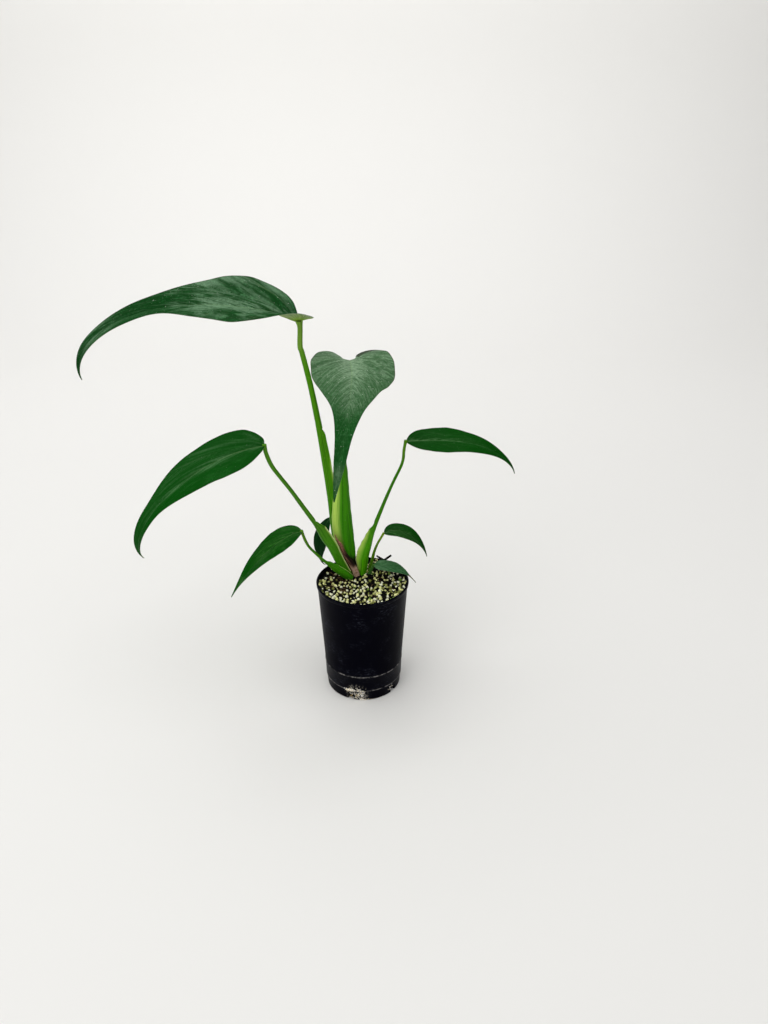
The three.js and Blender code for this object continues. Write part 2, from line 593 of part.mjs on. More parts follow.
const TRIM_ORDER = ["leaf_5", "leaf_3", "leaf_4", "cataphyll", "leaf_2", "leaf_8", "leaf_7", "leaf_1", "leaf_6"];
const holes = [grown(stem())];
for (const name of TRIM_ORDER) {
  const stalk = petiole(PETIOLES[name]);
  const leaf = LEAVES.find((each) => each.name === name);
  const clearOf = leaf ? [...holes, grown(blade(leaf))] : holes;
  const body = clearOf.reduce((rest, hole) => rest.subtract(hole), stalk);
  place(leaf ? `${name}_petiole` : name, largestBody(body), leaf ? petioleGreen : dryBrown);
  holes.push(grown(stalk));
}
for (const leaf of LEAVES) place(`${leaf.name}_blade`, blade(leaf), leaf.colour);
place("stem", stem(), stemBuff);
place("pot", pot(), blackPlastic);
place("soil", largestBody(holes.reduce((body, hole) => body.subtract(hole), mix())), pottingMix);

export default plant;
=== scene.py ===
import math
import random

import bpy
import numpy as np
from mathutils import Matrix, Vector, noise


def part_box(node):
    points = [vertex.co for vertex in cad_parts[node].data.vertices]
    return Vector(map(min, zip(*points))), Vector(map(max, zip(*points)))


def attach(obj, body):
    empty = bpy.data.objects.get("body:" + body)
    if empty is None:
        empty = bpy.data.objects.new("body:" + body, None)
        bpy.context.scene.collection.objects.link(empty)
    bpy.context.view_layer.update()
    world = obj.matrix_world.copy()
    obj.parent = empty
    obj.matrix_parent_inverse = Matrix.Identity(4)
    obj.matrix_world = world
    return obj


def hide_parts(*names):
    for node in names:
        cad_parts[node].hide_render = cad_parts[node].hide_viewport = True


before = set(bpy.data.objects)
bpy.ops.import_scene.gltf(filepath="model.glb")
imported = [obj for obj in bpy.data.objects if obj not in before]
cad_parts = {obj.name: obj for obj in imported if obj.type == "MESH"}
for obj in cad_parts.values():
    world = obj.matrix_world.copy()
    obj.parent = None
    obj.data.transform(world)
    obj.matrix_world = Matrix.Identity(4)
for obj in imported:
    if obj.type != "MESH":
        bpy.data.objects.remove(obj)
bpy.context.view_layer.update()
bpy.ops.object.select_all(action="DESELECT")

# Camera
# A camera held level from side to side looks down on the plant from the front, through a fairly wide
# lens.
focal_pixels = 769
image_height = 1024
look_down = math.radians(26.5)
bpy.ops.object.camera_add(location=(0.0213, -0.6533, 0.5210), rotation=(math.pi / 2 - look_down, 0, 0))
camera = bpy.context.object
camera.data.sensor_width = 36
camera.data.lens = camera.data.sensor_width * focal_pixels / image_height
camera.data.clip_start = 0.01
bpy.context.scene.camera = camera
bpy.context.scene.view_settings.view_transform = "Standard"

# Pot
# A tall tapered nursery pot, moulded in thin black plastic, with a proud lip to carry it by, a ring that
# takes the scuffs when pots are nested, a set-back foot band, and slots through its lower edge as drains.
pot_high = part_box("pot")[1]
pot_height = pot_high.z
lip_width = 0.0009
rim_radius = pot_high.x - lip_width
foot_radius = 0.84 * rim_radius
pot_wall = 0.001
pot_floor = 0.0024
lip_bottom = pot_height - 0.0035
foot_band_top = 0.012
foot_step = 0.0007
scuff_ring = 0.030
ridge = 0.0004
edge = 0.0006
pot_sides = 160
slot_count = 5
slot_size = 0.0065
first_slot = math.radians(-109)


def pot_radius(height):
    return foot_radius + (rim_radius - foot_radius) * height / pot_height


def turned(name, profile, sides):
    """A round shape: a filled circle whose edge is pulled from ring to ring and filled again at the end."""
    radius, height = profile[0]
    bpy.ops.mesh.primitive_circle_add(vertices=sides, radius=radius, fill_type="NGON",
                                      location=(0, 0, height))
    piece = bpy.context.object
    piece.name = name
    bpy.ops.object.transform_apply(location=True)
    bpy.ops.object.mode_set(mode="EDIT")
    bpy.ops.mesh.select_mode(type="EDGE")
    for next_radius, next_height in profile[1:]:
        bpy.ops.mesh.extrude_edges_move(TRANSFORM_OT_translate={"value": (0, 0, next_height - height)})
        bpy.ops.transform.resize(value=(next_radius / radius, next_radius / radius, 1))
        radius, height = next_radius, next_height
    bpy.ops.mesh.edge_face_add()
    bpy.ops.mesh.select_all(action="SELECT")
    bpy.ops.mesh.normals_make_consistent(inside=False)
    bpy.ops.object.mode_set(mode="OBJECT")
    return piece


def add_node(tree, kind, inputs=(), **settings):
    """A shader node whose inputs, by name or number, are values or other nodes' sockets."""
    made = tree.nodes.new("ShaderNode" + kind)
    for name, value in settings.items():
        setattr(made, name, value)
    for name, value in dict(inputs).items():
        if isinstance(value, bpy.types.NodeSocket):
            tree.links.new(value, made.inputs[name])
        else:
            made.inputs[name].default_value = value
    return made


def object_place(tree):
    return add_node(tree, "TexCoord").outputs["Object"]


def calc(operation, *values):
    """A sum of sockets and numbers, worked out in the node tree of its first socket."""
    tree = next(value for value in values if isinstance(value, bpy.types.NodeSocket)).id_data
    return add_node(tree, "Math", dict(enumerate(values)), operation=operation).outputs[0]


def times(first, second):
    return calc("MULTIPLY", first, second)


def plus(first, second):
    return calc("ADD", first, second)


def span(value, start, end):
    """0 below the start, 1 past the end, with a smooth rise between; the start may be the higher number."""
    inputs = {"Value": value, "From Min": start, "From Max": end}
    return add_node(value.id_data, "MapRange", inputs, interpolation_type="SMOOTHSTEP").outputs[0]


def stretch(vector, scale):
    return add_node(vector.id_data, "Mapping", {"Vector": vector, "Scale": scale}).outputs[0]


def grainy(vector, scale, detail=3, rough=0.55, distortion=0):
    inputs = {"Vector": vector, "Scale": scale, "Detail": detail, "Roughness": rough,
              "Distortion": distortion}
    return add_node(vector.id_data, "TexNoise", inputs).outputs[0]


def linear(colour):
    """A display colour, each part 0 to 255, as the linear value that a shader takes."""
    return (*(c / 255 / 12.92 if c < 10.3 else ((c / 255 + 0.055) / 1.055) ** 2.4 for c in colour), 1)


def blend(share, first, second):
    """Two colours mixed by a share. Each is a socket or a display colour."""
    first, second = (linear(each) if isinstance(each, tuple) else each for each in (first, second))
    return add_node(share.id_data, "Mix", {0: share, 6: first, 7: second}, data_type="RGBA").outputs[2]


def new_material(name):
    material = bpy.data.materials.new(name)
    material.use_nodes = True
    tree = material.node_tree
    return material, tree, tree.nodes["Principled BSDF"]


def coat(shader, paint, roughness, specular=0.5):
    """Gives a shader its paint, its roughness, as a number or a socket, and the strength of its gloss."""
    shader.id_data.links.new(paint, shader.inputs["Base Color"])
    if isinstance(roughness, bpy.types.NodeSocket):
        shader.id_data.links.new(roughness, shader.inputs["Roughness"])
    else:
        shader.inputs["Roughness"].default_value = roughness
    shader.inputs["Specular IOR Level"].default_value = specular


def bump(shader, height, distance):
    made = add_node(shader.id_data, "Bump", {"Height": height, "Distance": distance, "Strength": 1})
    shader.id_data.links.new(made.outputs[0], shader.inputs["Normal"])


def finish_piece(piece, material, slot, *nodes, smooth=60):
    """Gives a finished piece its material, its smoothing and its place in the frame."""
    piece.data.materials.clear()
    piece.data.materials.append(material)
    bpy.ops.object.select_all(action="DESELECT")
    piece.select_set(True)
    bpy.context.view_layer.objects.active = piece
    bpy.ops.object.shade_smooth_by_angle(angle=math.radians(smooth))
    bpy.ops.object.select_all(action="DESELECT")
    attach(piece, "root")
    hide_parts(*nodes)


def apply_modifier(piece, kind, **settings):
    modifier = piece.modifiers.new(kind.lower(), kind)
    for name, value in settings.items():
        setattr(modifier, name, value)
    bpy.context.view_layer.objects.active = piece
    bpy.ops.object.modifier_apply(modifier=modifier.name)


# The wall from the foot up, over the lip and down inside. Each ring has the height whose width it takes,
# how far it stands out from that, and its own height.
pot_rings = [
    (0, -edge, 0), (edge, 0, edge), (foot_band_top - foot_step, 0, foot_band_top - foot_step),
    (foot_band_top, foot_step, foot_band_top), (scuff_ring, 0, scuff_ring - 2 * edge),
    (scuff_ring, ridge, scuff_ring - edge / 2), (scuff_ring, ridge, scuff_ring + edge / 2),
    (scuff_ring, ridge / 4, scuff_ring + 2 * edge), (lip_bottom - edge, 0, lip_bottom - edge),
    (lip_bottom, lip_width * 0.8, lip_bottom), (lip_bottom, lip_width, lip_bottom + edge),
    (pot_height, lip_width, pot_height - edge), (pot_height, lip_width * 0.7, pot_height - edge / 4),
    (pot_height, lip_width - edge, pot_height), (pot_height, -0.8 * pot_wall, pot_height),
    (pot_height, -pot_wall, pot_height - edge), (pot_floor, -pot_wall, pot_floor),
]
rings = [(pot_radius(wall) + out, height) for wall, out, height in pot_rings]
pot = turned("pot_shell", rings, pot_sides)
for i in range(slot_count):
    angle = first_slot + 2 * math.pi * i / slot_count
    place = (foot_radius * math.cos(angle), foot_radius * math.sin(angle), 0)
    bpy.ops.mesh.primitive_cube_add(size=2 * slot_size, location=place, rotation=(0, 0, angle),
                                    scale=(1, 0.5, 1))
    cutter = bpy.context.object
    apply_modifier(pot, "BOOLEAN", object=cutter, operation="DIFFERENCE", solver="EXACT")
    bpy.data.objects.remove(cutter)

# The plastic is mottled and faintly scuffed, worn grey along the ring and the band, and limy round a slot.
black_plastic, tree, shader = new_material("black_plastic")
place = object_place(tree)
height = add_node(tree, "SeparateXYZ", {0: place}).outputs[2]
mottle = grainy(place, 45)
scuffs = grainy(stretch(place, (260, 260, 900)), 1, 5, 0.7)
worn = times(span(mottle, 0.45, 0.62), span(scuffs, 0.5, 0.7))
limy_slot = {0: place, 1: (-0.0065, -0.0372, 0.0085)}
nearby = add_node(tree, "VectorMath", limy_slot, operation="DISTANCE").outputs["Value"]
crust = times(span(nearby, 0.014, 0.003), span(grainy(place, 520), 0.5, 0.66))
broken = span(grainy(place, 220, 6, 0.75), 0.4, 0.62)
rings = [times(span(calc("ABSOLUTE", calc("SUBTRACT", height, level)), 0.001, 0.0002), broken)
         for level in (scuff_ring, foot_band_top + edge)]
paint = blend(times(mottle, 0.4), (0, 0, 7), (7, 7, 20))
paint = blend(times(worn, 0.45), paint, (74, 78, 92))
paint = blend(times(calc("MAXIMUM", *rings), 0.8), paint, (150, 147, 145))
paint = blend(crust, paint, (255, 248, 230))
coat(shader, paint, plus(plus(times(scuffs, 0.3), times(crust, 0.5)), 0.22), 0.025)
bump(shader, plus(scuffs, times(crust, 6)), 0.00006)
finish_piece(pot, black_plastic, "black_plastic", "pot", smooth=35)

# Crust on the pot's foot
# Lime and fine roots that have come out of the drain slot with the water and dried on the plastic: pale
# flakes and a few yellow-brown root ends, stuck to the wall round the slot.
random.seed(7)


def spline(points, t):
    """Points of a smooth curve through the given ones, at t from 0 to 1."""
    points = np.asarray(points, float)
    last = len(points) - 1
    place = np.clip(np.asarray(t, float), 0, 1) * last
    i = np.minimum(np.floor(place).astype(int), last - 1)
    w = (place - i)[..., None]
    p0, p1 = points[np.maximum(i - 1, 0)], points[i]
    p2, p3 = points[i + 1], points[np.minimum(i + 2, last)]
    v0, v1 = (p2 - p0) / 2, (p3 - p1) / 2
    return (2 * p1 - 2 * p2 + v0 + v1) * w ** 3 + (-3 * p1 + 3 * p2 - 2 * v0 - v1) * w ** 2 + v0 * w + p1


def unit(vectors):
    return vectors / np.linalg.norm(vectors, axis=1)[:, None]


def store(piece, **numbers):
    """Keeps numbers at each of a piece's points, under their names, for its material to use."""
    for key, values in numbers.items():
        made = piece.data.attributes.new(key, "FLOAT", "POINT")
        made.data.foreach_set("value", np.asarray(values, np.float32))


def stored(tree, key):
    return add_node(tree, "Attribute", attribute_name=key).outputs["Fac"]


def sew(distance, close=False):
    """Merges the points of the active piece that meet, can fill its open ends, and turns its faces out."""
    bpy.ops.object.mode_set(mode="EDIT")
    bpy.ops.mesh.select_all(action="SELECT")
    bpy.ops.mesh.remove_doubles(threshold=distance)
    if close:
        bpy.ops.mesh.select_all(action="DESELECT")
        bpy.ops.mesh.select_non_manifold()
        bpy.ops.mesh.edge_face_add()
        bpy.ops.mesh.select_all(action="SELECT")
    bpy.ops.mesh.normals_make_consistent(inside=False)
    bpy.ops.object.mode_set(mode="OBJECT")


def rolled(name, stations, sides, shape, **numbers):
    """A stalk: a flat grid whose points go where shape(along, round) says, rolled up, sewn and closed."""
    bpy.ops.mesh.primitive_grid_add(x_subdivisions=stations, y_subdivisions=sides, size=2)
    piece = bpy.context.object
    piece.name = name
    flat = np.array([v.co for v in piece.data.vertices])
    along, turn = (flat[:, 0] + 1) / 2, (flat[:, 1] + 1) / 2
    store(piece, **{key: number(along, turn) for key, number in numbers.items()})
    piece.data.vertices.foreach_set("co", np.asarray(shape(along, turn), np.float32).ravel())
    piece.data.update()
    sew(0.000004, close=True)
    return piece


def round_stick(name, points, thickness, stations=16, sides=10):
    """A round stick along a smooth line, with a half thickness given at each point of the line."""
    line = np.column_stack([points, thickness])

    def shape(along, turn):
        place = spline(line, along)
        ahead = unit(spline(line, along + 0.01)[:, :3] - spline(line, along - 0.01)[:, :3])
        side = unit(np.cross(ahead, (0.3, 0.9, 0.2)))
        up = np.cross(side, ahead)
        angle = 2 * np.pi * turn[:, None]
        return place[:, :3] + place[:, 3:] * (np.cos(angle) * side + np.sin(angle) * up)

    return rolled(name, stations, sides, shape)


def joined(pieces, name):
    bpy.ops.object.select_all(action="DESELECT")
    for piece in pieces:
        piece.select_set(True)
    bpy.context.view_layer.objects.active = pieces[0]
    bpy.ops.object.join()
    whole = bpy.context.object
    whole.name = name
    return whole


def scatter(name, shapes, places):
    """Copies small shapes to places, each (centre, size, turn, tone), and joins them into one piece."""
    copies = []
    tones = []
    for centre, size, turn, tone in places:
        copy = random.choice(shapes).copy()
        copy.data = copy.data.copy()
        bpy.context.collection.objects.link(copy)
        copy.scale = size
        copy.rotation_euler = turn
        copy.location = centre
        copies.append(copy)
        tones += [tone] * len(copy.data.vertices)
    whole = joined(copies, name)
    bpy.ops.object.transform_apply(location=True, rotation=True, scale=True)
    store(whole, tone=tones)
    for shape in shapes:
        bpy.data.objects.remove(shape)
    return whole


def lumps(count, roughness, subdivisions=2):
    """Small uneven stones, each from a ball whose points are moved in and out."""
    made = []
    for seed in range(count):
        bpy.ops.mesh.primitive_ico_sphere_add(subdivisions=subdivisions, radius=1)
        lump = bpy.context.object
        for vertex in lump.data.vertices:
            vertex.co *= 1 + roughness * noise.noise(vertex.co * 1.3 + Vector((seed * 7, 0, 0)))
        made.append(lump)
    return made


def turn_about():
    return [random.uniform(0, 2 * math.pi) for axis in range(3)]


def on_wall(x, z):
    radius = pot_radius(z) + (foot_step if z > foot_band_top - 0.0005 else 0)
    return Vector((x, -math.sqrt(radius ** 2 - x ** 2), z))


# Each patch: its count of flakes, and in metres its place across the front and up the wall, its spread both
# ways and the size of a flake.
patches = [
    (60, -0.013, 0.0126, 0.002, 0.0008, 0.0009), (60, -0.005, 0.0124, 0.005, 0.0004, 0.0004),
    (16, -0.0172, 0.0108, 0.0014, 0.0009, 0.0005), (40, -0.008, 0.008, 0.003, 0.0018, 0.0004),
    (60, -0.0008, 0.0065, 0.0014, 0.0032, 0.0005), (46, 0.0005, 0.0008, 0.003, 0.0006, 0.0006),
    (26, 0.0285, 0.006, 0.0012, 0.003, 0.0005), (16, 0.011, 0.0008, 0.005, 0.0004, 0.0003),
]
flakes = []
for count, x, z, spread_x, spread_z, size in patches:
    for i in range(count):
        flake = size * random.uniform(0.5, 1.4)
        centre = on_wall(random.gauss(x, spread_x), max(random.gauss(z, spread_z), flake))
        angle = math.atan2(centre.y, centre.x)
        slot = min(abs(math.remainder(angle - first_slot - k * 2 * math.pi / slot_count, 2 * math.pi))
                   for k in range(slot_count))
        if slot * foot_radius > slot_size / 2 or centre.z > slot_size:
            flakes.append((centre, (flake, flake * 0.9, flake * 0.6), turn_about(), random.random()))
crumbs = scatter("foot_crust", lumps(4, 0.9, 1), flakes)
lime, tree, shader = new_material("dried_lime")
coat(shader, blend(span(stored(tree, "tone"), 0.4, 1), (255, 253, 248), (226, 208, 168)), 0.9)
bump(shader, grainy(object_place(tree), 2500), 0.00008)
finish_piece(crumbs, lime, "potting_mix")



def stray(x, y, heading, step, swing, lay):
    """Five points of a line that strays over a surface, each laid on it by lay(x, y)."""
    points = []
    for i in range(5):
        points.append(lay(x, y))
        heading += random.gauss(0, swing)
        x += step * math.cos(heading)
        y += step * math.sin(heading)
    return points


def root_point(x, z):
    return on_wall(x, max(z, 0.001)) * (1 + random.uniform(0.004, 0.014))


root_ends = []
for i in range(4):
    x, z = random.uniform(-0.012, -0.006), random.uniform(0.004, 0.009)
    points = stray(x, z, random.uniform(0, 2 * math.pi), 0.0011, 0.7, root_point)
    root_ends.append(round_stick("root_end", points, [0.0002, 0.00024, 0.00022, 0.0002, 0.0001], 12, 5))
roots = joined(root_ends, "root_ends")
root_buff, tree, shader = new_material("root_buff")
coat(shader, blend(grainy(object_place(tree), 600), (132, 98, 48), (214, 190, 132)), 0.8)
finish_piece(roots, root_buff, "potting_mix")

# Potting mix
# A damp black mix of peat and composted bark that fills the pot to just below the rim. It is firmed down by
# hand, heaped round the stem, banked against the wall and piled at the back, and crumbly on top.
clearance = 0.00032
mix_top = pot_height - 0.005
mix_bottom = pot_floor + clearance
stem_x, stem_y = -0.0062, 0.0186
heap_height, heap_reach = 0.0022, 0.016
bank_height = 0.0018
pile_height, pile_azimuth, pile_spread = 0.003, 66, 26
ring_step = 0.0009


def mix_radius(height):
    return pot_radius(height) - pot_wall - clearance


def mix_height(x, y):
    swell = 0.0009 * math.sin(x / 0.009 + 1) * math.cos(y / 0.011) + 0.0006 * math.sin((x + y) / 0.006)
    heap = heap_height * math.exp(-((x - stem_x) ** 2 + (y - stem_y) ** 2) / heap_reach ** 2)
    azimuth = math.degrees(math.atan2(y, x))
    outward = math.hypot(x, y) / mix_radius(mix_top)
    bank = bank_height * (0.2 if 80 < azimuth < 175 else 1) * max(0, outward - 0.7) / 0.3
    pile = pile_height * math.exp(-((azimuth - pile_azimuth) / pile_spread) ** 2)
    pile = pile * max(0, outward - 0.5) / 0.5
    return mix_top + swell + heap + bank + pile


rings = [(mix_radius(mix_bottom), mix_bottom), (mix_radius(mix_top), mix_top)]
while rings[-1][0] > 2 * ring_step:
    rings.append((rings[-1][0] - ring_step, mix_top))
mix = turned("potting_mix_body", rings, 180)
for vertex in mix.data.vertices:
    if vertex.co.z > mix_top - 0.001:
        crumble = 0.0011 * noise.noise(vertex.co * 420) + 0.0007 * noise.noise(vertex.co * 1100)
        vertex.co.z = mix_height(vertex.co.x, vertex.co.y) + crumble - 0.0002
damp_mix, tree, shader = new_material("damp_mix")
place = object_place(tree)
paint = blend(span(grainy(place, 700, 4), 0.4, 0.75), (1, 1, 1), (10, 9, 6))
paint = blend(times(span(grainy(place, 1500), 0.66, 0.74), 0.6), paint, (88, 76, 44))
coat(shader, paint, 0.85, 0.1)
bump(shader, grainy(place, 1300, 4), 0.0006)
finish_piece(mix, damp_mix, "potting_mix", "soil")

# Perlite
# Light grains of puffed volcanic glass mixed in for drainage, 1.4 to 4 mm across. They float up and lie
# over the top of the mix, thickest at the front and the right, some stained yellow or green by feed and
# algae.
random.seed(23)
grain_count = 325
most_tries = 9000
bare_round_stem = 0.009
closeness = 0.92
grains = []
tries = 0
while len(grains) < grain_count and tries < most_tries:
    tries += 1
    radius = random.triangular(0.0007, 0.002, 0.0013)
    angle = random.uniform(0, 2 * math.pi)
    reach = (mix_radius(mix_top) - 0.3 * radius) * math.sqrt(random.random())
    x, y = reach * math.cos(angle), reach * math.sin(angle)
    # The chance of a grain here: high at the front and right, low at the left, none round the stem.
    thick = 0.75 if y < 0.005 or x > 0.004 and y > 0.018 else 0.4
    if x < -0.015 and -0.025 < y < 0.02:
        thick = 0.3
    if math.hypot(x - stem_x, y - stem_y + 0.003) < bare_round_stem:
        thick = 0
    thick *= 0.75 + 1.2 * noise.noise(Vector((x, y, 0)) * 150)
    if random.random() > thick + (0.35 if reach > 0.036 and y < 0.01 else 0):
        continue
    if all(math.hypot(x - g[0][0], y - g[0][1]) > closeness * (radius + g[1][0]) for g in grains):
        size = [radius * random.uniform(0.75, 1.1) for axis in range(3)]
        size[0] = radius
        centre = (x, y, mix_height(x, y) + random.uniform(0, 0.6) * radius)
        grains.append((centre, size, turn_about(), random.random()))
perlite = scatter("perlite_grains", lumps(7, 0.6), grains)
puffed_glass, tree, shader = new_material("puffed_glass")
place = object_place(tree)
tone = stored(tree, "tone")
paint = blend(span(tone, 0.08, 0.4), (122, 126, 52), (244, 244, 168))
paint = blend(span(tone, 0.5, 0.7), paint, (255, 255, 222))
paint = blend(span(tone, 0.95, 0.96), paint, (112, 146, 48))
paint = blend(times(span(grainy(place, 900), 0.52, 0.72), 0.5), paint, (96, 92, 44))
coat(shader, paint, 0.8)
shader.inputs["Subsurface Weight"].default_value = 0.1
shader.inputs["Subsurface Radius"].default_value = (0.001, 0.001, 0.0008)
bump(shader, grainy(place, 2600, 2), 0.00012)
finish_piece(perlite, puffed_glass, "potting_mix")

# Bark chips and twig
# Flat dark chips of composted pine bark that lie flat in the mix, and one forked twig that stands up out of
# it behind the smallest leaf.
random.seed(31)
noise.seed_set(31)
chip_count = 200
chip_shapes = []
for seed in range(4):
    bpy.ops.mesh.primitive_cube_add(size=2)
    chip = bpy.context.object
    apply_modifier(chip, "BEVEL", width=0.35, segments=1)
    for vertex in chip.data.vertices:
        vertex.co *= 1 + 0.35 * noise.noise(vertex.co * 0.9 + Vector((0, seed * 5, 0)))
    chip_shapes.append(chip)
chips = []
for i in range(chip_count):
    angle = random.uniform(0, 2 * math.pi)
    reach = (mix_radius(mix_top) - 0.003) * math.sqrt(random.random())
    x, y = reach * math.cos(angle), reach * math.sin(angle)
    size = (random.uniform(0.001, 0.0026), random.uniform(0.0006, 0.0013), random.uniform(0.0003, 0.0007))
    turn = (random.gauss(0, 0.35), random.gauss(0, 0.35), random.uniform(0, math.pi))
    chips.append(((x, y, mix_height(x, y) + random.uniform(-0.0002, 0.0007)), size, turn, random.random()))
bark = scatter("bark_chips", chip_shapes, chips)
bark_brown, tree, shader = new_material("bark_brown")
place = object_place(tree)
paint = blend(stored(tree, "tone"), (6, 5, 4), (28, 20, 13))
paint = blend(times(grainy(place, 1600, 4), 0.5), paint, (20, 16, 13))
coat(shader, paint, 0.8, 0.1)
bump(shader, grainy(stretch(place, (1, 3, 1)), 1500, 4), 0.0003)
finish_piece(bark, bark_brown, "potting_mix", smooth=30)

fork = (0.0215, 0.0330, 0.1234)
twig_arms = {
    "twig_foot": ([(0.0215, 0.0325, 0.1100), (0.0212, 0.0327, 0.117), fork], [0.0012, 0.0011, 0.0011]),
    "twig_left": ([fork, (0.0177, 0.0337, 0.1253), (0.0135, 0.0344, 0.128)], [0.0011, 0.0011, 0.0008]),
    "twig_right": ([fork, (0.0249, 0.0336, 0.1258), (0.0287, 0.0344, 0.1284)], [0.0011, 0.0012, 0.001]),
}
for name, (points, thickness) in twig_arms.items():
    arm = round_stick(name, points, thickness)
    for vertex in arm.data.vertices:
        vertex.co += 0.00025 * noise.noise_vector(vertex.co * 900)
    finish_piece(arm, bark_brown, "potting_mix")

# Fibres in the mix
# Loose strands of coir and fine dead roots that lie over the mix, thickest at its left side where there is
# less perlite.
random.seed(47)
fibre_count = 46
left_fibres = 30


def fibre_point(x, y):
    return x, y, mix_height(x, y) + random.uniform(0.0004, 0.0018)


fibres = []
for i in range(fibre_count):
    x = random.gauss(-0.026, 0.008) if i < left_fibres else random.uniform(-0.03, 0.03)
    y = random.gauss(0.002, 0.011) if i < left_fibres else random.uniform(-0.03, 0.02)
    if math.hypot(x, y) > mix_radius(mix_top) - 0.007:
        continue
    points = stray(x, y, random.uniform(0, math.pi), 0.0018, 0.45, fibre_point)
    half = random.uniform(0.00013, 0.0003)
    fibres.append(round_stick("fibre", points, [half * 0.6, half, half, half, half * 0.4], 14, 5))
coir = joined(fibres, "coir_fibres")
dead_root, tree, shader = new_material("dead_root")
coat(shader, blend(grainy(object_place(tree), 300), (58, 40, 26), (128, 96, 62)), 0.75, 0.15)
finish_piece(coir, dead_root, "potting_mix")

# Stem
# The short thick stem that all the leaves grow from, ringed where old leaves were and buff with age. The
# sheaths hide it.
ring_depth = 0.0002
ring_spacing = 0.0004
stem_profile = [(0.004, 0.087), (0.0066, 0.092), (0.007, 0.1), (0.006, 0.108), (0.004, 0.113),
                (0.002, 0.1154)]
stem = turned("stem_body", [tuple(p) for p in spline(stem_profile, np.linspace(0, 1, 25))], 48)
for vertex in stem.data.vertices:
    ring = ring_depth * math.sin(vertex.co.z / ring_spacing)
    swell = 1 + (ring + 0.0005 * noise.noise(vertex.co * 300)) / 0.006
    vertex.co.x = vertex.co.x * swell + stem_x
    vertex.co.y = vertex.co.y * swell + stem_y
buff, tree, shader = new_material("stem_buff")
place = object_place(tree)
coat(shader, blend(grainy(stretch(place, (1, 1, 4)), 300, 4), (96, 74, 58), (176, 154, 130)), 0.8, 0.15)
bump(shader, grainy(stretch(place, (1, 1, 5)), 700, 4), 0.0003)
finish_piece(stem, buff, "stem_buff", "stem")

# Petioles and their sheaths
# Each leaf stands on a juicy green stalk. Its lower part opens to the front as a sheath, thin and pale at
# its two free margins, that clasps the stem and the younger leaves.

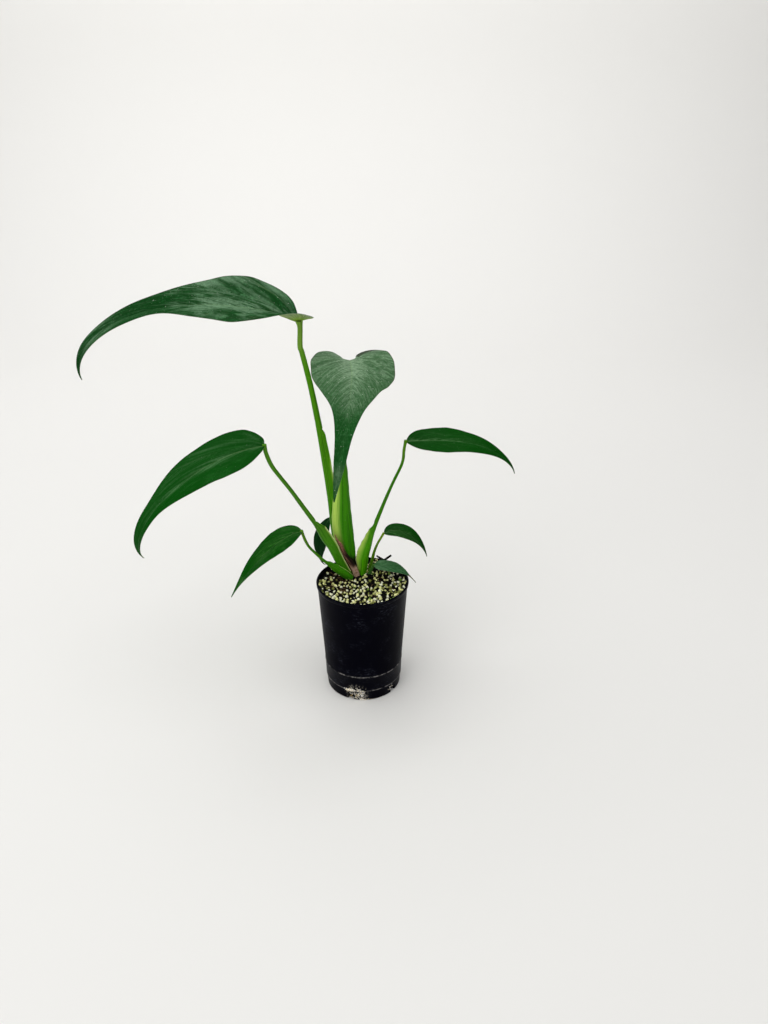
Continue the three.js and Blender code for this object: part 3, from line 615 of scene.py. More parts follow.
# Each stalk has the azimuth that its back faces, and rows in millimetres: a point of the centre line, half
# the width, the depth behind and before that line, and the share by which the front is hollowed, 0 to 1. A
# row of four numbers is round.
stalks = {
    "leaf_1": (195, [
        (-53.5, 28, 369.5, 3.8, 3.4, 3.4, 0), (-53, 28, 362.5, 2.3), (-53.7, 27.8, 347, 2.4),
        (-52, 27.7, 340, 2.4), (-45.8, 27.2, 310.5, 2.6), (-40.8, 26.7, 280, 2.9),
        (-39.4, 26.6, 270.5, 3.1), (-38.4, 26.5, 263, 3.3, 3.1, 5.4, 0.8),
        (-34.5, 26, 231.5, 3.6, 3.2, 5.4, 1), (-30.6, 25.5, 198, 4.2, 3.5, 5.7, 1),
        (-27.7, 25, 163, 4.4, 3.8, 5.9, 1), (-25, 24.7, 144, 4.4, 3.8, 5.6, 1),
        (-18.5, 23.4, 118, 4.2, 3.6, 4, 0.6), (-12.5, 21.4, 103, 3.6, 3.2, 3.2, 0.3),
    ]),
    "leaf_2": (-78, [
        (-9.5, 19.2, 333.5, 2.4, 2.2, 2.2, 0), (-9.8, 21, 329, 2.3), (-10.5, 22.4, 316, 2.6),
        (-14, 22, 292, 2.6), (-17, 21.6, 264, 2.9), (-18.6, 21.2, 246, 3.4, 3.4, 3, 0.1),
        (-19, 21, 238, 5, 4.2, 2.2, 0.7), (-19.4, 21, 225.5, 6.7, 5, 2.4, 1),
        (-19.7, 20.7, 208.5, 8, 5.4, 2.5, 1), (-20, 20.5, 191.5, 9.5, 5.8, 2.6, 1),
        (-20, 20.4, 177.5, 10.7, 6, 2.6, 1), (-19, 20.2, 162, 11, 6, 2.4, 1),
        (-16.8, 20, 147.5, 9.8, 5.8, 2.2, 1), (-13.6, 19.8, 131, 7.7, 5.4, 2.2, 0.9),
        (-9.6, 19.6, 115, 6, 5, 2.6, 0.6), (-7.5, 19.5, 103, 4.6, 4.2, 3, 0.4),
    ]),
    "leaf_3": (215, [
        (-86.3, -8, 267, 2.1, 2, 2, 0), (-85.7, -7.6, 260.5, 1.9), (-84, -7.2, 253.5, 2),
        (-81, -6, 245, 2), (-76.4, -4.8, 236.7, 1.9), (-65.7, -2, 219, 1.9), (-55.8, 0.8, 201, 2.1),
        (-47.6, 2.7, 186.5, 2.3), (-44.4, 3.4, 181, 2.8, 2.4, 3.4, 0.7),
        (-41, 4.6, 173.5, 3.6, 2.8, 6.1, 1), (-37, 5.6, 164, 4.2, 3, 7.2, 1),
        (-31.3, 6.6, 154.7, 4.6, 3.2, 6, 1), (-27, 7.8, 145, 4.8, 3.4, 4.9, 1),
        (-23.6, 9.2, 136, 4.8, 3.4, 4.7, 1), (-17.8, 11.8, 122.5, 4.6, 3.2, 4.4, 1),
        (-12.5, 14.6, 110, 4, 3, 3.4, 0.7), (-9.5, 16.5, 101, 3.4, 2.8, 2.8, 0.4),
    ]),
    "leaf_4": (-35, [
        (41.6, 10, 264, 1.9, 1.8, 1.8, 0), (40.6, 10, 259.5, 1.4), (39.7, 10.2, 253, 1.4),
        (39.3, 10.6, 246, 1.4), (37.3, 11, 238, 1.4), (30, 11.8, 221, 1.4), (23.3, 12.6, 204, 1.6),
        (14.5, 13.6, 180, 2), (12.6, 13.8, 174.5, 2.3, 2.1, 2.2, 0.4),
        (10, 14.2, 167.5, 3, 2.5, 3.3, 0.9), (7.9, 14.4, 160.5, 3.6, 2.8, 4.4, 1),
        (5.6, 14.8, 151, 4.2, 3.2, 6.6, 1), (3.3, 15.2, 142, 4.8, 3.4, 7.9, 1),
        (1.7, 15.6, 133.5, 5, 3.6, 7.8, 1), (0.4, 16.2, 124, 4.6, 3.6, 5, 1),
        (-2, 17.4, 111, 4, 3.4, 3.4, 0.7), (-4, 18.2, 101, 3.4, 3, 2.8, 0.4),
    ]),
    "leaf_5": (255, [
        (-56.5, -14.2, 182.5, 1.8, 1.7, 1.7, 0), (-55.4, -12.6, 178, 1.4), (-53.6, -10.6, 170.5, 1.4),
        (-50.8, -7.6, 162, 1.3), (-46.8, -4.6, 155, 1.3), (-39.6, -0.8, 144.5, 1.4),
        (-36, 0.6, 140.4, 1.7, 1.6, 1.6, 0.2), (-31.6, 2, 136.4, 3, 2, 1.6, 0.8),
        (-25.6, 4.4, 130, 4.4, 2.6, 1.8, 1), (-18.8, 7.4, 122.8, 4.7, 3, 2, 1),
        (-13.6, 10.8, 116, 4.4, 3, 2, 1), (-10.2, 13.4, 108.5, 3.6, 2.8, 2, 0.7),
        (-8.6, 15, 102, 3, 2.6, 2, 0.4),
    ]),
    "leaf_6": (150, [
        (-33.3, 46, 166.6, 1.6, 1.5, 1.5, 0), (-33, 46, 163, 1.4), (-30, 42.3, 151, 1.5),
        (-25.2, 37.2, 136, 1.8), (-20, 32.2, 123, 2.6, 2.2, 2.2, 0.4),
        (-15, 28, 112, 2.8, 2.4, 2.4, 0.4), (-11, 24.6, 102, 2.4, 2.2, 2.2, 0.3),
    ]),
    "leaf_7": (-20, [
        (21.2, 32, 156, 1.4, 1.3, 1.3, 0), (19, 31.2, 152, 1.2), (14.5, 29.8, 144, 1.2),
        (11.3, 28.2, 135.8, 1.4), (9, 26.8, 127, 1.7, 1.7, 1.7, 0.1), (6.2, 25, 117.5, 2.4, 2, 2, 0.4),
        (1.5, 22.8, 105, 2.6, 2.2, 2.2, 0.3),
    ]),
    "leaf_8": (-60, [
        (11.4, 13.5, 129.6, 1.4, 1.3, 1.3, 0), (10.4, 13.8, 127.6, 1.3),
        (8.6, 15.2, 122.5, 1.5, 1.5, 1.5, 0.1), (6, 17.2, 116, 2, 1.8, 1.8, 0.4),
        (2.6, 19, 109, 2.2, 1.9, 1.9, 0.4), (0, 19.6, 103, 2.2, 1.9, 1.9, 0.3),
    ]),
}
back_share = 0.6


def stalk(name, azimuth, rows, sheath_wall=0.0017, wrinkle=0):
    """A stalk whose section turns from round to a hollow sheath; back_share of its points form the back."""
    facing = np.array([math.cos(math.radians(azimuth)), math.sin(math.radians(azimuth)), 0])
    rows = np.array([(*row, row[3], row[3], 0) if len(row) == 4 else row for row in rows], float)
    rows[:, :6] /= 1000

    def shape(along, turn):
        place = spline(rows[:, :3], along)
        ahead = unit(spline(rows[:, :3], along - 0.01) - spline(rows[:, :3], along + 0.01))
        back_way = unit(facing - ahead * (ahead @ facing)[:, None])
        side_way = np.cross(back_way, ahead)
        lower = np.minimum((along * (len(rows) - 1)).astype(int), len(rows) - 2)
        share = (along * (len(rows) - 1) - lower)[:, None]
        share = share * share * (3 - 2 * share)
        width, back, front, hollow = (rows[lower, 3:] * (1 - share) + rows[lower + 1, 3:] * share).T
        wall = np.minimum(sheath_wall, back)
        k = np.clip(1 - 2 * turn / back_share, -1, 1)
        outer_u = width * np.sin(np.pi / 2 * k) * (1 - 0.1 * hollow * np.abs(k) ** 6)
        outer_v = back * np.cos(np.pi / 2 * k) - hollow * front * np.abs(k) ** 4
        q = np.clip(2 * (turn - back_share) / (1 - back_share) - 1, -1, 1)
        bow = np.radians(90 - 18 * np.clip(1 - np.abs(q), 0, 1) ** 0.2)
        round_u, round_v = width * np.sin(bow * q), -front * np.cos(bow * q)
        deep_u = (width - 0.8 * wall) * np.sin(np.radians(80) * q)
        deep_v = (back - wall) * np.cos(np.radians(80) * q) - 0.92 * front * np.abs(q) ** 4
        inner_u = round_u + (deep_u - round_u) * hollow
        inner_v = round_v + (deep_v - round_v) * hollow
        behind = turn <= back_share + 1e-6
        u = np.where(behind, outer_u, inner_u)
        v = np.where(behind, outer_v, inner_v)
        seam = np.isclose(turn, 1)
        u = np.where(seam, width * (1 - 0.1 * hollow), u)
        v = np.where(seam, -hollow * front, v)
        points = place + u[:, None] * side_way + v[:, None] * back_way
        if wrinkle:
            shake = np.array([noise.noise_vector(Vector(p) * 260) for p in points])
            points += wrinkle * shake * np.sin(np.pi * np.clip(along * 1.2, 0, 1))[:, None]
        return points

    def hollow_at(along):
        return np.interp(along, np.linspace(0, 1, len(rows)), rows[:, 6])

    def wing(along, turn):
        q = 2 * (turn - back_share) / (1 - back_share) - 1
        return np.where(turn <= back_share, 1 - 2 * turn / back_share, q) * hollow_at(along)

    def inside(along, turn):
        return np.where(turn > back_share + 1e-6, 1, 0) * hollow_at(along)

    return rolled(name, 7 * (len(rows) - 1), 50, shape, down=lambda along, turn: along, wing=wing,
                  inside=inside, round=lambda along, turn: turn)


def place_of(tree, *parts):
    """A place made of three numbers or sockets, for a grain to be looked up at."""
    return add_node(tree, "CombineXYZ", dict(enumerate(parts))).outputs[0]


def stalk_finish(name, top, middle, foot, pale_left, pale_right, shade_from, seed):
    """Living stalk: green with fine lengthwise streaks, pale at the sheath's thin free margins, with
    painted shade low on its foot.
    """
    material, tree, shader = new_material(name)
    down, wing, inside, turn = (stored(tree, key) for key in ("down", "wing", "inside", "round"))
    streaks = grainy(place_of(tree, times(turn, 26), times(down, 3), seed), 1.4, 4, 0.6)
    paint = blend(span(down, 0.1, 0.3), top, middle)
    paint = blend(span(down, 0.45, 0.85), paint, foot)
    paint = blend(times(span(streaks, 0.42, 0.62), 0.5), paint, (20, 72, 4))
    left = span(wing, pale_left, min(pale_left + 0.4, 1.02))
    right = span(times(wing, -1), pale_right, min(pale_right + 0.4, 1.02))
    pale = times(times(calc("MAXIMUM", left, right), 0.85), span(streaks, 0.2, 0.5))
    paint = blend(pale, paint, (200, 234, 106))
    paint = blend(span(calc("ABSOLUTE", wing), 0.955, 0.99), paint, (206, 216, 160))
    paint = blend(times(inside, 0.25), paint, (132, 164, 66))
    # Painted shade: the outside of the foot turns near black from shade_from down, where it sits in the
    # shadowed gap beside the cataphyll.
    low = calc("MULTIPLY_ADD", wing, 0.02, down)
    foot_shade = times(span(low, shade_from, shade_from + 0.03), span(inside, 0.2, 0))
    paint = blend(times(foot_shade, 0.97), paint, (12, 10, 6))
    fleck = span(grainy(object_place(tree), 1100, 2), 0.66, 0.74)
    paint = blend(times(fleck, 0.4), paint, (168, 186, 120))
    coat(shader, paint, 0.45, 0.08)
    bump(shader, streaks, 0.00018)
    return material


# Colours of the top, middle and foot, where the pale of the two free margins starts, and where the painted
# shade on the foot starts.
stalk_looks = {
    "leaf_1": ((136, 184, 66), (80, 150, 4), (70, 144, 4), 0.85, 0.88, 1.1),
    "leaf_2": ((110, 160, 50), (66, 146, 4), (58, 144, 2), 0.05, 0.9, 0.825),
    "leaf_3": ((84, 144, 30), (76, 138, 28), (66, 144, 6), 0.8, 0.9, 1.1),
    "leaf_4": ((90, 146, 16), (62, 134, 6), (84, 172, 4), 0.68, 0.9, 1.1),
    "leaf_5": ((96, 146, 22), (70, 138, 12), (70, 164, 14), 0.85, 0.86, 1.1),
    "leaf_6": ((50, 108, 20), (48, 106, 20), (48, 106, 20), 0.7, 0.7, 1.1),
    "leaf_7": ((150, 184, 40), (118, 166, 28), (84, 144, 28), 0.7, 0.7, 1.1),
    "leaf_8": ((84, 130, 58), (68, 116, 48), (52, 100, 42), 0.7, 0.7, 1.1),
}
for seed, (name, (azimuth, rows)) in enumerate(stalks.items()):
    petiole = stalk(f"{name}_stalk", azimuth, rows)
    material = stalk_finish(f"{name}_stalk_green", *stalk_looks[name], seed * 3.7)
    finish_piece(petiole, material, "petiole_green", f"{name}_petiole", smooth=50)

# Cataphyll
# The papery scale that wrapped the newest leaf, now dead: it has dried to a purplish brown strip between
# the front sheaths, thin, curled at its edges and wrinkled. Its rows are like a stalk's.
scale_rows = [
    (-26.7, 8.8, 166.2, 0.4), (-24.6, 9.2, 160.2, 1.1, 0.8, 0.6, 0.4),
    (-21.9, 9.8, 154, 1.9, 1.2, 1.1, 1), (-16.8, 10.8, 141.5, 2.6, 1.6, 1.3, 1),
    (-10.6, 11.6, 130, 3.6, 2, 1.6, 1), (-6.8, 12.6, 119, 3.6, 2.4, 1.8, 0.8),
    (-6, 15, 107, 3, 2.2, 1.8, 0.6),
]
noise.seed_set(53)
scale = stalk("dried_scale", 235, scale_rows, sheath_wall=0.0006, wrinkle=0.0006)
dried, tree, shader = new_material("dried_scale_brown")
down, wing, turn = (stored(tree, key) for key in ("down", "wing", "round"))
streaks = grainy(place_of(tree, times(turn, 22), times(down, 6), 5), 1.5, 5, 0.65)
blotch = grainy(object_place(tree), 340, 3)
paint = blend(span(streaks, 0.35, 0.68), (50, 26, 20), (212, 152, 124))
low = times(span(down, 0.62, 0.72), span(blotch, 0.3, 0.55))
paint = blend(times(low, 0.85), paint, (206, 172, 154))
ochre = times(span(wing, 0.1, 0.7), span(blotch, 0.3, 0.6))
paint = blend(times(ochre, 0.85), paint, (200, 146, 48))
# Painted shadow: the right side of the scale goes near black above its pale foot, where it lies deep in the
# crotch between the sheaths.
shade = times(times(span(times(wing, -1), 0, 0.45), span(down, 0.73, 0.65)), span(down, 0.35, 0.5))
paint = blend(times(shade, 0.95), paint, (6, 4, 4))
coat(shader, paint, 0.7, 0.1)
bump(shader, streaks, 0.0005)
finish_piece(scale, dried, "dry_brown", "cataphyll")

# Blades
# Thin leathery leaf blades on the ends of the stalks. Each one folds a little along its sunken midrib,
# arches over and runs out in a long drip tip, with fine side veins that fan from the stalk to the tip.

# Half outlines: distance from the stalk as a share of the length, and half width as a share of the widest.
heart_left = [
    (-0.002, 0.18), (-0.045, 0.26), (-0.1, 0.47), (-0.055, 0.81), (0.06, 1.01), (0.16, 1.02),
    (0.28, 0.96), (0.41, 0.71), (0.54, 0.38), (0.68, 0.215), (0.84, 0.12), (1, 0.015)]
heart_right = [
    (-0.002, 0.17), (-0.06, 0.235), (-0.098, 0.54), (-0.06, 0.87), (0.05, 1.09), (0.16, 1.1),
    (0.265, 1.04), (0.34, 0.91), (0.385, 0.73), (0.44, 0.59), (0.54, 0.37), (0.68, 0.21), (0.84, 0.135),
    (1, 0.015)]
small_lobe = [
    (0, 0.03), (-0.028, 0.19), (-0.054, 0.4), (-0.01, 0.6), (0.06, 0.72), (0.16, 0.86), (0.27, 1.02),
    (0.4, 0.76), (0.54, 0.34), (0.68, 0.31), (0.84, 0.22), (1, 0.015)]
shoulder = [
    (0, 0.05), (0.009, 0.2), (0.035, 0.44), (0.09, 0.7), (0.15, 0.91), (0.215, 1.06), (0.29, 0.97),
    (0.38, 0.69), (0.52, 0.41), (0.64, 0.285), (0.77, 0.175), (0.89, 0.13), (1, 0.015)]
along_lance = (0, 0.008, 0.035, 0.09, 0.17, 0.28, 0.41, 0.55, 0.68, 0.8, 0.91, 1)
lance = list(zip(along_lance, (0.05, 0.22, 0.48, 0.76, 0.95, 1, 0.93, 0.74, 0.5, 0.28, 0.12, 0.03)))
wilted = lance[:7] + [(0.55, 0.72), (0.68, 0.42), (0.79, 0.13), (0.9, 0.06), (1, 0.03)]
tailed = list(zip(along_lance, (0.05, 0.24, 0.56, 0.83, 0.93, 0.95, 0.83, 0.61, 0.39, 0.3, 0.2, 0.03)))
hooded = [(-0.024, 0.1), (-0.012, 0.27)] + tailed[2:]
oval = list(zip(along_lance, (0.05, 0.16, 0.3, 0.5, 0.71, 0.92, 1, 0.85, 0.48, 0.22, 0.11, 0.05)))

# What the blades have in common, where they have no value of their own. Angles are in degrees.
leaf_habit = dict(outlines=(lance, lance), hook=0, level=0, pouch=0.0003, wave=0.0003, waves=2, rows=70,
                  vein=28, bow=0.35)
blades = {
    "leaf_1": dict(
        base=(-0.0535, 0.028, 0.373), length=0.223, half_width=0.0355, outlines=(small_lobe, shoulder),
        heading=186.5, sweep=6.5, pitch=(12.5, -55.5), bend=1.9, hook=-52, roll=-16, twist=-24, fold=23,
        lift=19, pouch=0.0042, wave=0.0006, waves=3, rows=150, vein=14, bow=0.5),
    "leaf_2": dict(
        base=(-0.0095, 0.022, 0.335), length=0.169, half_width=0.0345,
        outlines=(heart_right, heart_left), heading=-82, sweep=-25.5, pitch=(1, -67.5), bend=1.4,
        roll=-1, twist=-5.5, fold=10, lift=11.5, level=1, pouch=-0.0012, wave=0.0009, waves=3, rows=150,
        vein=36, bow=0.12),
    "leaf_3": dict(
        base=(-0.086, -0.008, 0.2665), length=0.169, half_width=0.026, outlines=(tailed, hooded),
        heading=194, sweep=9, pitch=(-5.5, -62), bend=0.94, hook=-66, roll=-23, twist=-2, fold=15.5,
        lift=9.5, pouch=0.0008, wave=0.0008, waves=3, rows=120, vein=10),
    "leaf_4": dict(
        base=(0.042, 0.01, 0.2635), length=0.113, half_width=0.0155, heading=-3.5, sweep=1.5,
        pitch=(4, -54), bend=2, hook=-22, roll=23, twist=5, fold=12.5, lift=7, pouch=0.0005, wave=0.0006,
        waves=3, rows=90, vein=12),
    "leaf_5": dict(
        base=(-0.056, -0.014, 0.1825), length=0.094, half_width=0.016, heading=204, sweep=-2,
        pitch=(7.5, -58), bend=0.45, roll=-8.5, twist=5.5, fold=14, lift=5, pouch=0.0005, wave=0.0005,
        rows=80, vein=16),
    "leaf_6": dict(
        base=(-0.0335, 0.046, 0.166), length=0.061, half_width=0.0085, outlines=(oval, oval),
        heading=235.5, sweep=1, pitch=(-19.5, -125.5), bend=0.85, hook=-21, roll=0, twist=-3, fold=11,
        lift=0),
    "leaf_7": dict(
        base=(0.0215, 0.032, 0.1555), length=0.058, half_width=0.01, heading=-11.5, sweep=-1,
        pitch=(50, -75), bend=0.65, roll=14.5, twist=0.5, fold=14.5, lift=6),
    "leaf_8": dict(
        base=(0.0115, 0.0135, 0.129), length=0.048, half_width=0.009, outlines=(wilted, wilted),
        heading=-14.5, sweep=1, pitch=(14, -54), bend=1.1, roll=9, twist=-9.5, fold=9.5, lift=5.5,
        rows=60),
}
blade_thickness = 0.0005
half_droop = math.radians(20)
columns = 22
vein_depth = 0.00016
midrib_depth = 0.0004
under_rib = 0.0006
vein_pairs = 17
midrib_steps = 400


def direction(leaf, u):
    """Unit vectors along the midrib at shares u of the length."""
    start, end = leaf["pitch"]
    pitch = np.radians(start + (end - start) * u ** leaf["bend"] + leaf["hook"] * u ** 10)
    heading = np.radians(leaf["heading"] + leaf["sweep"] * u)
    return np.stack([np.cos(pitch) * np.cos(heading), np.cos(pitch) * np.sin(heading), np.sin(pitch)], -1)


def outline_place(outline, row, v):
    """Distance along and across the blade, as shares, for a row and a share v of the way to the margin."""
    rear = 2 / (len(outline) - 1)
    start, back = spline(outline, 0.0), spline(outline, rear)
    edge_point = spline(outline, rear + (1 - rear) * row)
    bowed = spline(outline, rear * v) - (start + (back - start) * v[:, None])
    fade = np.clip(1 - row / 0.35, 0, 1) ** 2
    root = row ** 1.35
    a = root + (edge_point[:, 0] - root) * v + fade * bowed[:, 0]
    b = edge_point[:, 1] * v + fade * (bowed[:, 1] + start[1] * (1 - v)) * np.clip(v / 0.12, 0, 1)
    return a, b


def vein_line(leaf, a, reach):
    """Which side vein a point lies on: veins fan from the stalk at the base, then leave the midrib."""
    angle = math.radians(leaf["vein"])
    slope = (1 + 5 * np.clip(a / leaf["length"], 0, 1) ** 3) / math.tan(angle)
    forward = a - leaf["bow"] * reach ** 2 / leaf["half_width"]
    fan = np.arctan2(reach, forward) - angle
    return np.where(fan < 0, forward - slope * reach, -0.5 * leaf["half_width"] * fan)


def blade_points(leaf, a, b, raised):
    """Where points of the blade lie, at a along and b across, raised off the middle of its thickness."""
    length, half_width = leaf["length"], leaf["half_width"]
    walk = direction(leaf, (np.arange(midrib_steps) + 0.5) / midrib_steps) * length / midrib_steps
    midrib = np.vstack([np.zeros(3), np.cumsum(walk, 0)]) + np.array(leaf["base"])
    u = np.clip(a / length, 0, 1)
    marks = np.arange(midrib_steps + 1)
    centre = np.stack([np.interp(u * midrib_steps, marks, line) for line in midrib.T], -1)
    ahead = direction(leaf, u)
    heading = np.radians(leaf["heading"] + leaf["sweep"] * u)
    level = np.stack([-np.sin(heading), np.cos(heading), 0 * heading], -1)
    roll = np.radians(leaf["roll"] + leaf["twist"] * u)[:, None]
    across = np.cos(roll) * level + np.sin(roll) * np.cross(ahead, level)
    up = np.cross(ahead, across)
    side = np.where(b < 0, -1.0, 1.0)
    reach = np.abs(b)
    share = reach / half_width
    rise = leaf["lift"] * np.exp(-((np.maximum(a / length, -0.02) + 0.02) / 0.13) ** 2)
    slope = np.radians(leaf["fold"] + rise)
    curl = half_droop / half_width
    out = (np.sin(slope) - np.sin(slope - curl * reach)) / curl
    ripple = np.sin(2 * np.pi * (leaf["waves"] * a / length + 0.25 * side))
    fine_ripple = np.sin(2 * np.pi * (9 * a / length + 0.35 * side)) * share ** 6
    near_base = (a / length / 0.07) ** 2
    height = (np.cos(slope - curl * reach) - np.cos(slope)) / curl
    height *= 1 - leaf["level"] * np.exp(-near_base - (share / 0.2) ** 2)
    height += leaf["wave"] * (share ** 2 * ripple + 0.25 * fine_ripple)
    height -= leaf["pouch"] * np.exp(-near_base - (share / 0.4) ** 2)
    tilt = np.where(reach > 0, slope - curl * reach, 0)
    centre = centre + np.minimum(a, 0)[:, None] * ahead
    centre = centre + (side * out - side * np.sin(tilt) * raised)[:, None] * across
    return centre + (height + np.cos(tilt) * raised)[:, None] * up


def blade(name, leaf):
    """A flat sheet given its thickness, whose points are then set by the leaf's outline and bend."""
    length, half_width = leaf["length"], leaf["half_width"]
    bpy.ops.mesh.primitive_grid_add(x_subdivisions=leaf["rows"], y_subdivisions=2 * columns, size=2)
    piece = bpy.context.object
    piece.name = name
    apply_modifier(piece, "SOLIDIFY", thickness=1, offset=0)
    flat = np.array([v.co for v in piece.data.vertices])
    row = np.clip((flat[:, 0] + 1) / 2, 0, 1)
    v = np.clip(np.abs(flat[:, 1]) * (0.35 + 0.65 * np.abs(flat[:, 1])), 0, 1)
    upper = np.where(flat[:, 2] > 0, 1.0, -1.0)
    near = outline_place(leaf["outlines"][0], row, v)
    far = outline_place(leaf["outlines"][1], row, v)
    positive = flat[:, 1] > 0
    a = np.where(positive, near[0], far[0]) * length
    b = np.where(positive, near[1], -far[1]) * half_width
    u = np.clip(a / length, 0, 1)
    vein = vein_line(leaf, a, np.abs(b))
    to_vein = np.mod(vein / (length / vein_pairs) + 0.5, 1) - 0.5
    furrow = np.exp(-(to_vein / 0.09) ** 2) * (1 - v ** 6) * (1 - u ** 3)
    rib = np.exp(-(np.abs(b) / (0.05 * half_width + 0.0004)) ** 2) * (1 - u)
    thin = blade_thickness / 2 * (1 - 0.4 * v ** 8)
    raised = upper * thin - vein_depth * furrow - midrib_depth * rib
    raised -= np.where(upper < 0, under_rib * rib, 0)
    points = blade_points(leaf, a, b, raised)
    piece.data.vertices.foreach_set("co", points.astype(np.float32).ravel())
    store(piece, along=u, across=b / half_width, margin=np.sign(flat[:, 1]) * v, row=row,
          vein=vein * math.sin(math.radians(leaf["vein"])), upper=(upper + 1) / 2)
    piece.data.update()
    sew(0.000002)
    return piece


def profile(value, stops):
    """A smooth run of shares along a value, from (place, share) pairs."""
    made = add_node(value.id_data, "ValToRGB", {0: value})
    ramp = made.color_ramp
    ramp.interpolation = "EASE"
    while len(ramp.elements) < len(stops):
        ramp.elements.new(0.5)
    for element, (at, share) in zip(ramp.elements, stops):
        element.position = at
        element.color = (share, share, share, 1)
    return made.outputs[0]


def blade_finish(name, deep, lit, sheen, along_stops, across_stops, streak, even_sheen, dry_from, wear, near,
                 seed, painted_curl_shade=False):
    """Living blade: deep green, with a painted grey-green sheen in streaks along the veins; paler
    underneath.
    The painted sheen's strength runs along the blade and across it, from the near margin (0) to the far one
    (1).
    Its streaks have a width and a number in the length, and even_sheen is the share of it that is even."""
    material, tree, shader = new_material(name)
    along, across, margin, vein, upper, row = (stored(tree, key) for key in
                                               ("along", "across", "margin", "vein", "upper", "row"))
    place = object_place(tree)
    off = calc("ABSOLUTE", across)

    def streaks(width, number, detail=4, rough=0.6):
        ahead = calc("MULTIPLY_ADD", along, number, times(across, 2.4))
        return grainy(place_of(tree, calc("DIVIDE", vein, width), ahead, seed), 1, detail, rough, 0.5)

    width, number = streak
    broad = streaks(width, number, 2)
    fine = streaks(0.0007, 1.5 * number)
    hair = streaks(0.0003, number, 2)
    mottle = grainy(place, 420, 4, 0.65)
    paint = blend(times(span(fine, 0.45, 0.7), span(mottle, 0.35, 0.65)), deep, lit)
    # Painted sheen: grey-green streaks that stand for the bright sweep's reflection in the blade, as strong
    # as the two profiles say. The pale hair lines along the veins are drawn only where this sheen lies, so
    # they are partly painted sheen as well.
    sideways = plus(times(margin, -0.5 * near), 0.5)
    strength = times(profile(along, along_stops), profile(sideways, across_stops))
    patches = plus(times(broad, 0.65), times(fine, 0.35))
    patches = plus(patches, times(calc("SUBTRACT", strength, 0.5), 0.15))
    painted_sheen = calc("MULTIPLY_ADD", span(patches, 0.43, 0.6), 1 - even_sheen, even_sheen)
    painted_sheen = times(painted_sheen, calc("MULTIPLY_ADD", span(mottle, 0.3, 0.65), 0.45, 0.55))
    paint = blend(times(painted_sheen, strength), paint, sheen)
    vein_sheen_lines = times(span(hair, 0.55, 0.72), strength)
    paint = blend(times(vein_sheen_lines, 0.3), paint, (140, 164, 124))
    rib = times(span(off, 0.016, 0.004), span(along, 0.6, 0.1))
    paint = blend(times(rib, 0.35), paint, (126, 156, 104))
    speck = span(grainy(place, 620, 1), 0.76 - 0.05 * wear, 0.8)
    scratch = span(grainy(stretch(place, (2300, 500, 260)), 1, 2), 0.68, 0.76)
    scratch = times(scratch, span(grainy(place, 90), 0.48, 0.58))
    paint = blend(times(calc("MAXIMUM", speck, scratch), 0.7 * wear), paint, (204, 214, 196))
    paint = blend(times(span(along, dry_from, dry_from + 0.04), 0.8), paint, (104, 84, 46))
    rim = span(calc("ABSOLUTE", margin), 0.975, 0.995)
    paint = blend(times(rim, 0.7), paint, (58, 62, 40))
    # Painted shade: a dark crescent on the right lobe's rear margin that stands for that edge curled up and
    # over in shadow. The mesh has no such curl.
    if painted_curl_shade:
        fold = times(span(row, 0.085, 0.055), span(margin, 0.24, 0.34))
        paint = blend(times(fold, 0.9), paint, (24, 40, 12))
    under = blend(span(hair, 0.3, 0.7), (96, 126, 68), (162, 180, 118))
    root = times(span(along, 0.05, 0.005), span(off, 0.5, 0.05))
    under = blend(times(root, 0.8), under, (128, 172, 32))
    under = blend(times(span(off, 0.04, 0.015), 0.6), under, (150, 178, 92))
    under = blend(span(calc("ABSOLUTE", margin), 0.9, 0.95), under, (150, 172, 138))
    paint = blend(span(upper, 0.4, 0.6), under, paint)
    coat(shader, paint, plus(times(fine, 0.22), 0.32), 0.03)
    bump(shader, plus(fine, times(hair, 0.35)), 0.00016)
    return material
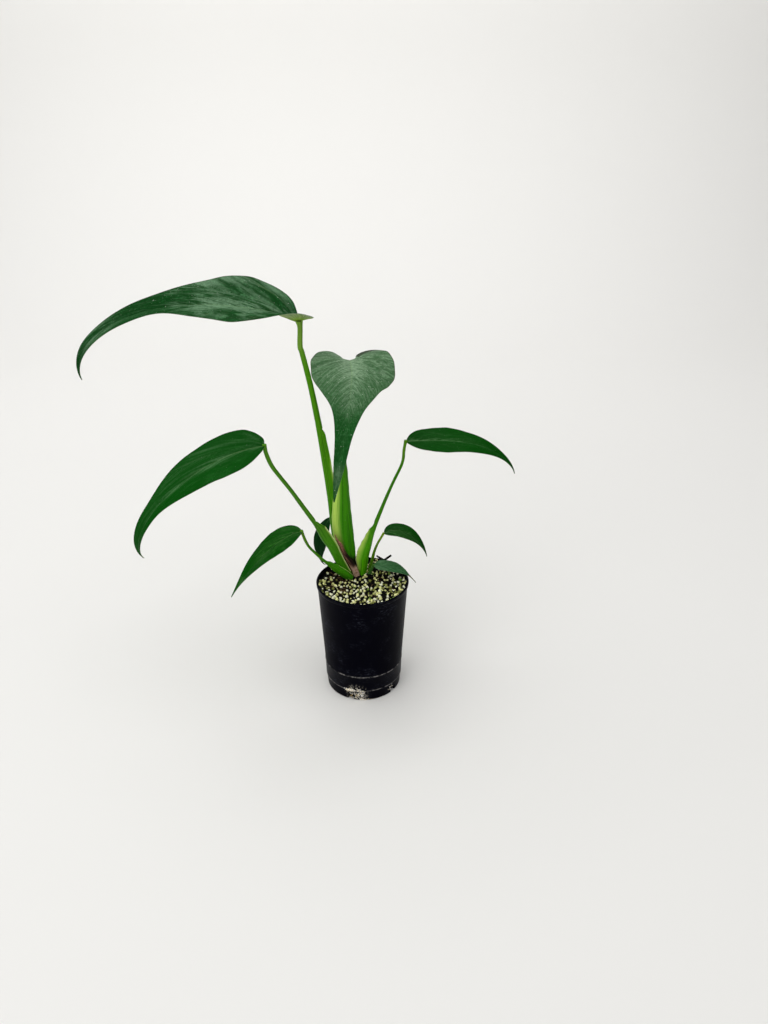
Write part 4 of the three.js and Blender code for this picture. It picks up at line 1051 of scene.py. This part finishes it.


# Deep, lit and painted sheen colours, the painted sheen's strength along the blade and from the near to the
# far margin, its streaks and its even share, where the tip is dry, wear, which half is near (1 for the left
# one, seen from the stalk), a seed, and whether the right lobe's rear edge gets the painted shade of an
# edge curled up.
blade_looks = {
    "leaf_1": (
        (0, 56, 8), (24, 98, 40), (120, 156, 122),
        [(0, 0.6), (0.1, 0.7), (0.2, 0.75), (0.38, 0.9), (0.46, 0.6), (0.52, 0.25), (0.66, 0.25),
         (0.8, 0.8), (0.92, 0.4), (1, 0.2)],
        [(0, 0.35), (0.15, 0.6), (0.3, 0.8), (0.44, 1), (0.55, 0.85), (0.66, 0.5), (0.8, 0.45),
         (0.9, 0.75), (1, 0.8)],
        (0.003, 14), 0.05, 0.985, 0.6, 1, 1.3),
    "leaf_2": (
        (0, 64, 8), (42, 106, 50), (138, 166, 134),
        [(0, 0.95), (0.2, 0.85), (0.38, 0.64), (0.48, 0.52), (0.63, 0.08), (0.8, 0.06), (0.87, 0.5),
         (0.95, 0.3), (1, 0.05)],
        [(0, 0.55), (0.25, 0.65), (0.5, 1), (0.75, 0.65), (1, 0.55)],
        (0.0015, 12), 0.42, 1.1, 1, 1, 4.1, True),
    "leaf_3": (
        (0, 68, 2), (10, 82, 14), (84, 128, 82),
        [(0, 0.7), (0.3, 0.75), (0.7, 0.6), (1, 0.5)],
        [(0, 0.05), (0.3, 0.15), (0.44, 0.9), (0.55, 0.6), (0.62, 0.3), (0.8, 0.5), (1, 0.3)],
        (0.0022, 4), 0.1, 0.97, 0.2, 1, 8.2),
    "leaf_4": (
        (0, 64, 0), (8, 76, 8), (84, 130, 80),
        [(0, 0.8), (0.4, 0.6), (0.8, 0.3), (1, 0.2)],
        [(0, 0.1), (0.4, 0.25), (0.5, 1), (0.6, 0.35), (0.8, 0.15), (1, 0.05)],
        (0.0014, 5), 0.1, 0.98, 0.2, -1, 12.9),
    "leaf_5": (
        (0, 68, 0), (24, 106, 14), (84, 140, 66),
        [(0, 0.5), (0.5, 0.5), (0.68, 0.1), (0.74, 0.1), (0.78, 0.8), (1, 0.5)],
        [(0, 0.3), (0.5, 0.9), (1, 0.3)],
        (0.0014, 5), 0.15, 1.1, 0.2, 1, 17.4),
    "leaf_6": (
        (0, 44, 8), (2, 54, 10), (60, 98, 62),
        [(0, 0.4), (1, 0.3)], [(0, 0.3), (1, 0.4)],
        (0.0012, 4), 0.2, 0.98, 0.1, 1, 21.1),
    "leaf_7": (
        (0, 60, 0), (20, 86, 16), (88, 126, 74),
        [(0, 0.6), (0.5, 0.5), (1, 0.4)], [(0, 0.7), (0.5, 0.7), (0.8, 0.2), (1, 0.4)],
        (0.0012, 4), 0.2, 0.98, 0.1, -1, 26.3),
    "leaf_8": (
        (4, 74, 24), (30, 98, 44), (112, 146, 112),
        [(0, 0.8), (0.6, 0.6), (0.9, 0.3), (1, 0.3)], [(0, 0.6), (1, 0.6)],
        (0.0009, 4), 0.5, 0.76, 0.3, -1, 31.7),
}
for name, leaf in blades.items():
    leaf_blade = blade(f"{name}_leaf", {**leaf_habit, **leaf})
    surface = blade_finish(f"{name}_surface", *blade_looks[name])
    slot_name = "leaf_grey" if name in ("leaf_2", "leaf_8") else "leaf_green"
    finish_piece(leaf_blade, surface, slot_name, f"{name}_blade")

# Floor and light
# A plain pale sweep that curves up behind the plant, a large soft lamp above it, a smaller one in front, a
# wash on the sweep, whose bright surface the level parts of the leaves reflect, and a weak even sky.
floor_width = 7
floor_back = 1.3
bend_radius = 0.8
turn_steps = 14
wall_height = 0.15
bpy.ops.mesh.primitive_plane_add(size=floor_width, location=(0, floor_back - floor_width / 2, 0))
floor = bpy.context.object
floor.name = "floor"
bpy.ops.object.transform_apply(location=True)
bpy.ops.object.mode_set(mode="EDIT")
bpy.ops.mesh.select_mode(type="EDGE")
bpy.ops.mesh.select_all(action="DESELECT")
bpy.ops.object.mode_set(mode="OBJECT")
for line in floor.data.edges:
    line.select = all(floor.data.vertices[i].co.y > floor_back - 0.01 for i in line.vertices)
bpy.ops.object.mode_set(mode="EDIT")
for i in range(turn_steps):
    turn = (i + 0.5) / turn_steps * math.pi / 2
    step = bend_radius * math.pi / 2 / turn_steps
    move = (0, step * math.cos(turn), step * math.sin(turn))
    bpy.ops.mesh.extrude_edges_move(TRANSFORM_OT_translate={"value": move})
bpy.ops.mesh.extrude_edges_move(TRANSFORM_OT_translate={"value": (0, 0, wall_height)})
bpy.ops.object.mode_set(mode="OBJECT")
bpy.ops.object.shade_smooth()
pale, tree, shader = new_material("pale_floor")
shader.inputs["Base Color"].default_value = linear((232, 231, 228))
shader.inputs["Roughness"].default_value = 0.9
shader.inputs["Specular IOR Level"].default_value = 0.1
floor.data.materials.append(pale)


def lamp(name, place, target, width, depth, energy):
    bpy.ops.object.light_add(type="AREA", location=place)
    made = bpy.context.object
    made.name = name
    made.data.shape = "RECTANGLE"
    made.data.size = width
    made.data.size_y = depth
    made.data.energy = energy
    made.rotation_euler = (Vector(target) - Vector(place)).to_track_quat("-Z", "Y").to_euler()


lamp("overhead_lamp", (-0.4, -0.2, 2.6), (0, 0.1, 0), 4, 3.4, 86)
lamp("front_lamp", (-1.3, -1.7, 1.3), (0, 0, 0.2), 1.4, 1.4, 11)
lamp("sweep_wash", (0, 1.1, 1.5), (0, 2.1, 0.3), 3, 0.5, 8)
world = bpy.data.worlds.new("soft_sky")
bpy.context.scene.world = world
world.use_nodes = True
world.node_tree.nodes["Background"].inputs[0].default_value = (1, 1, 1, 1)
world.node_tree.nodes["Background"].inputs[1].default_value = 0.18
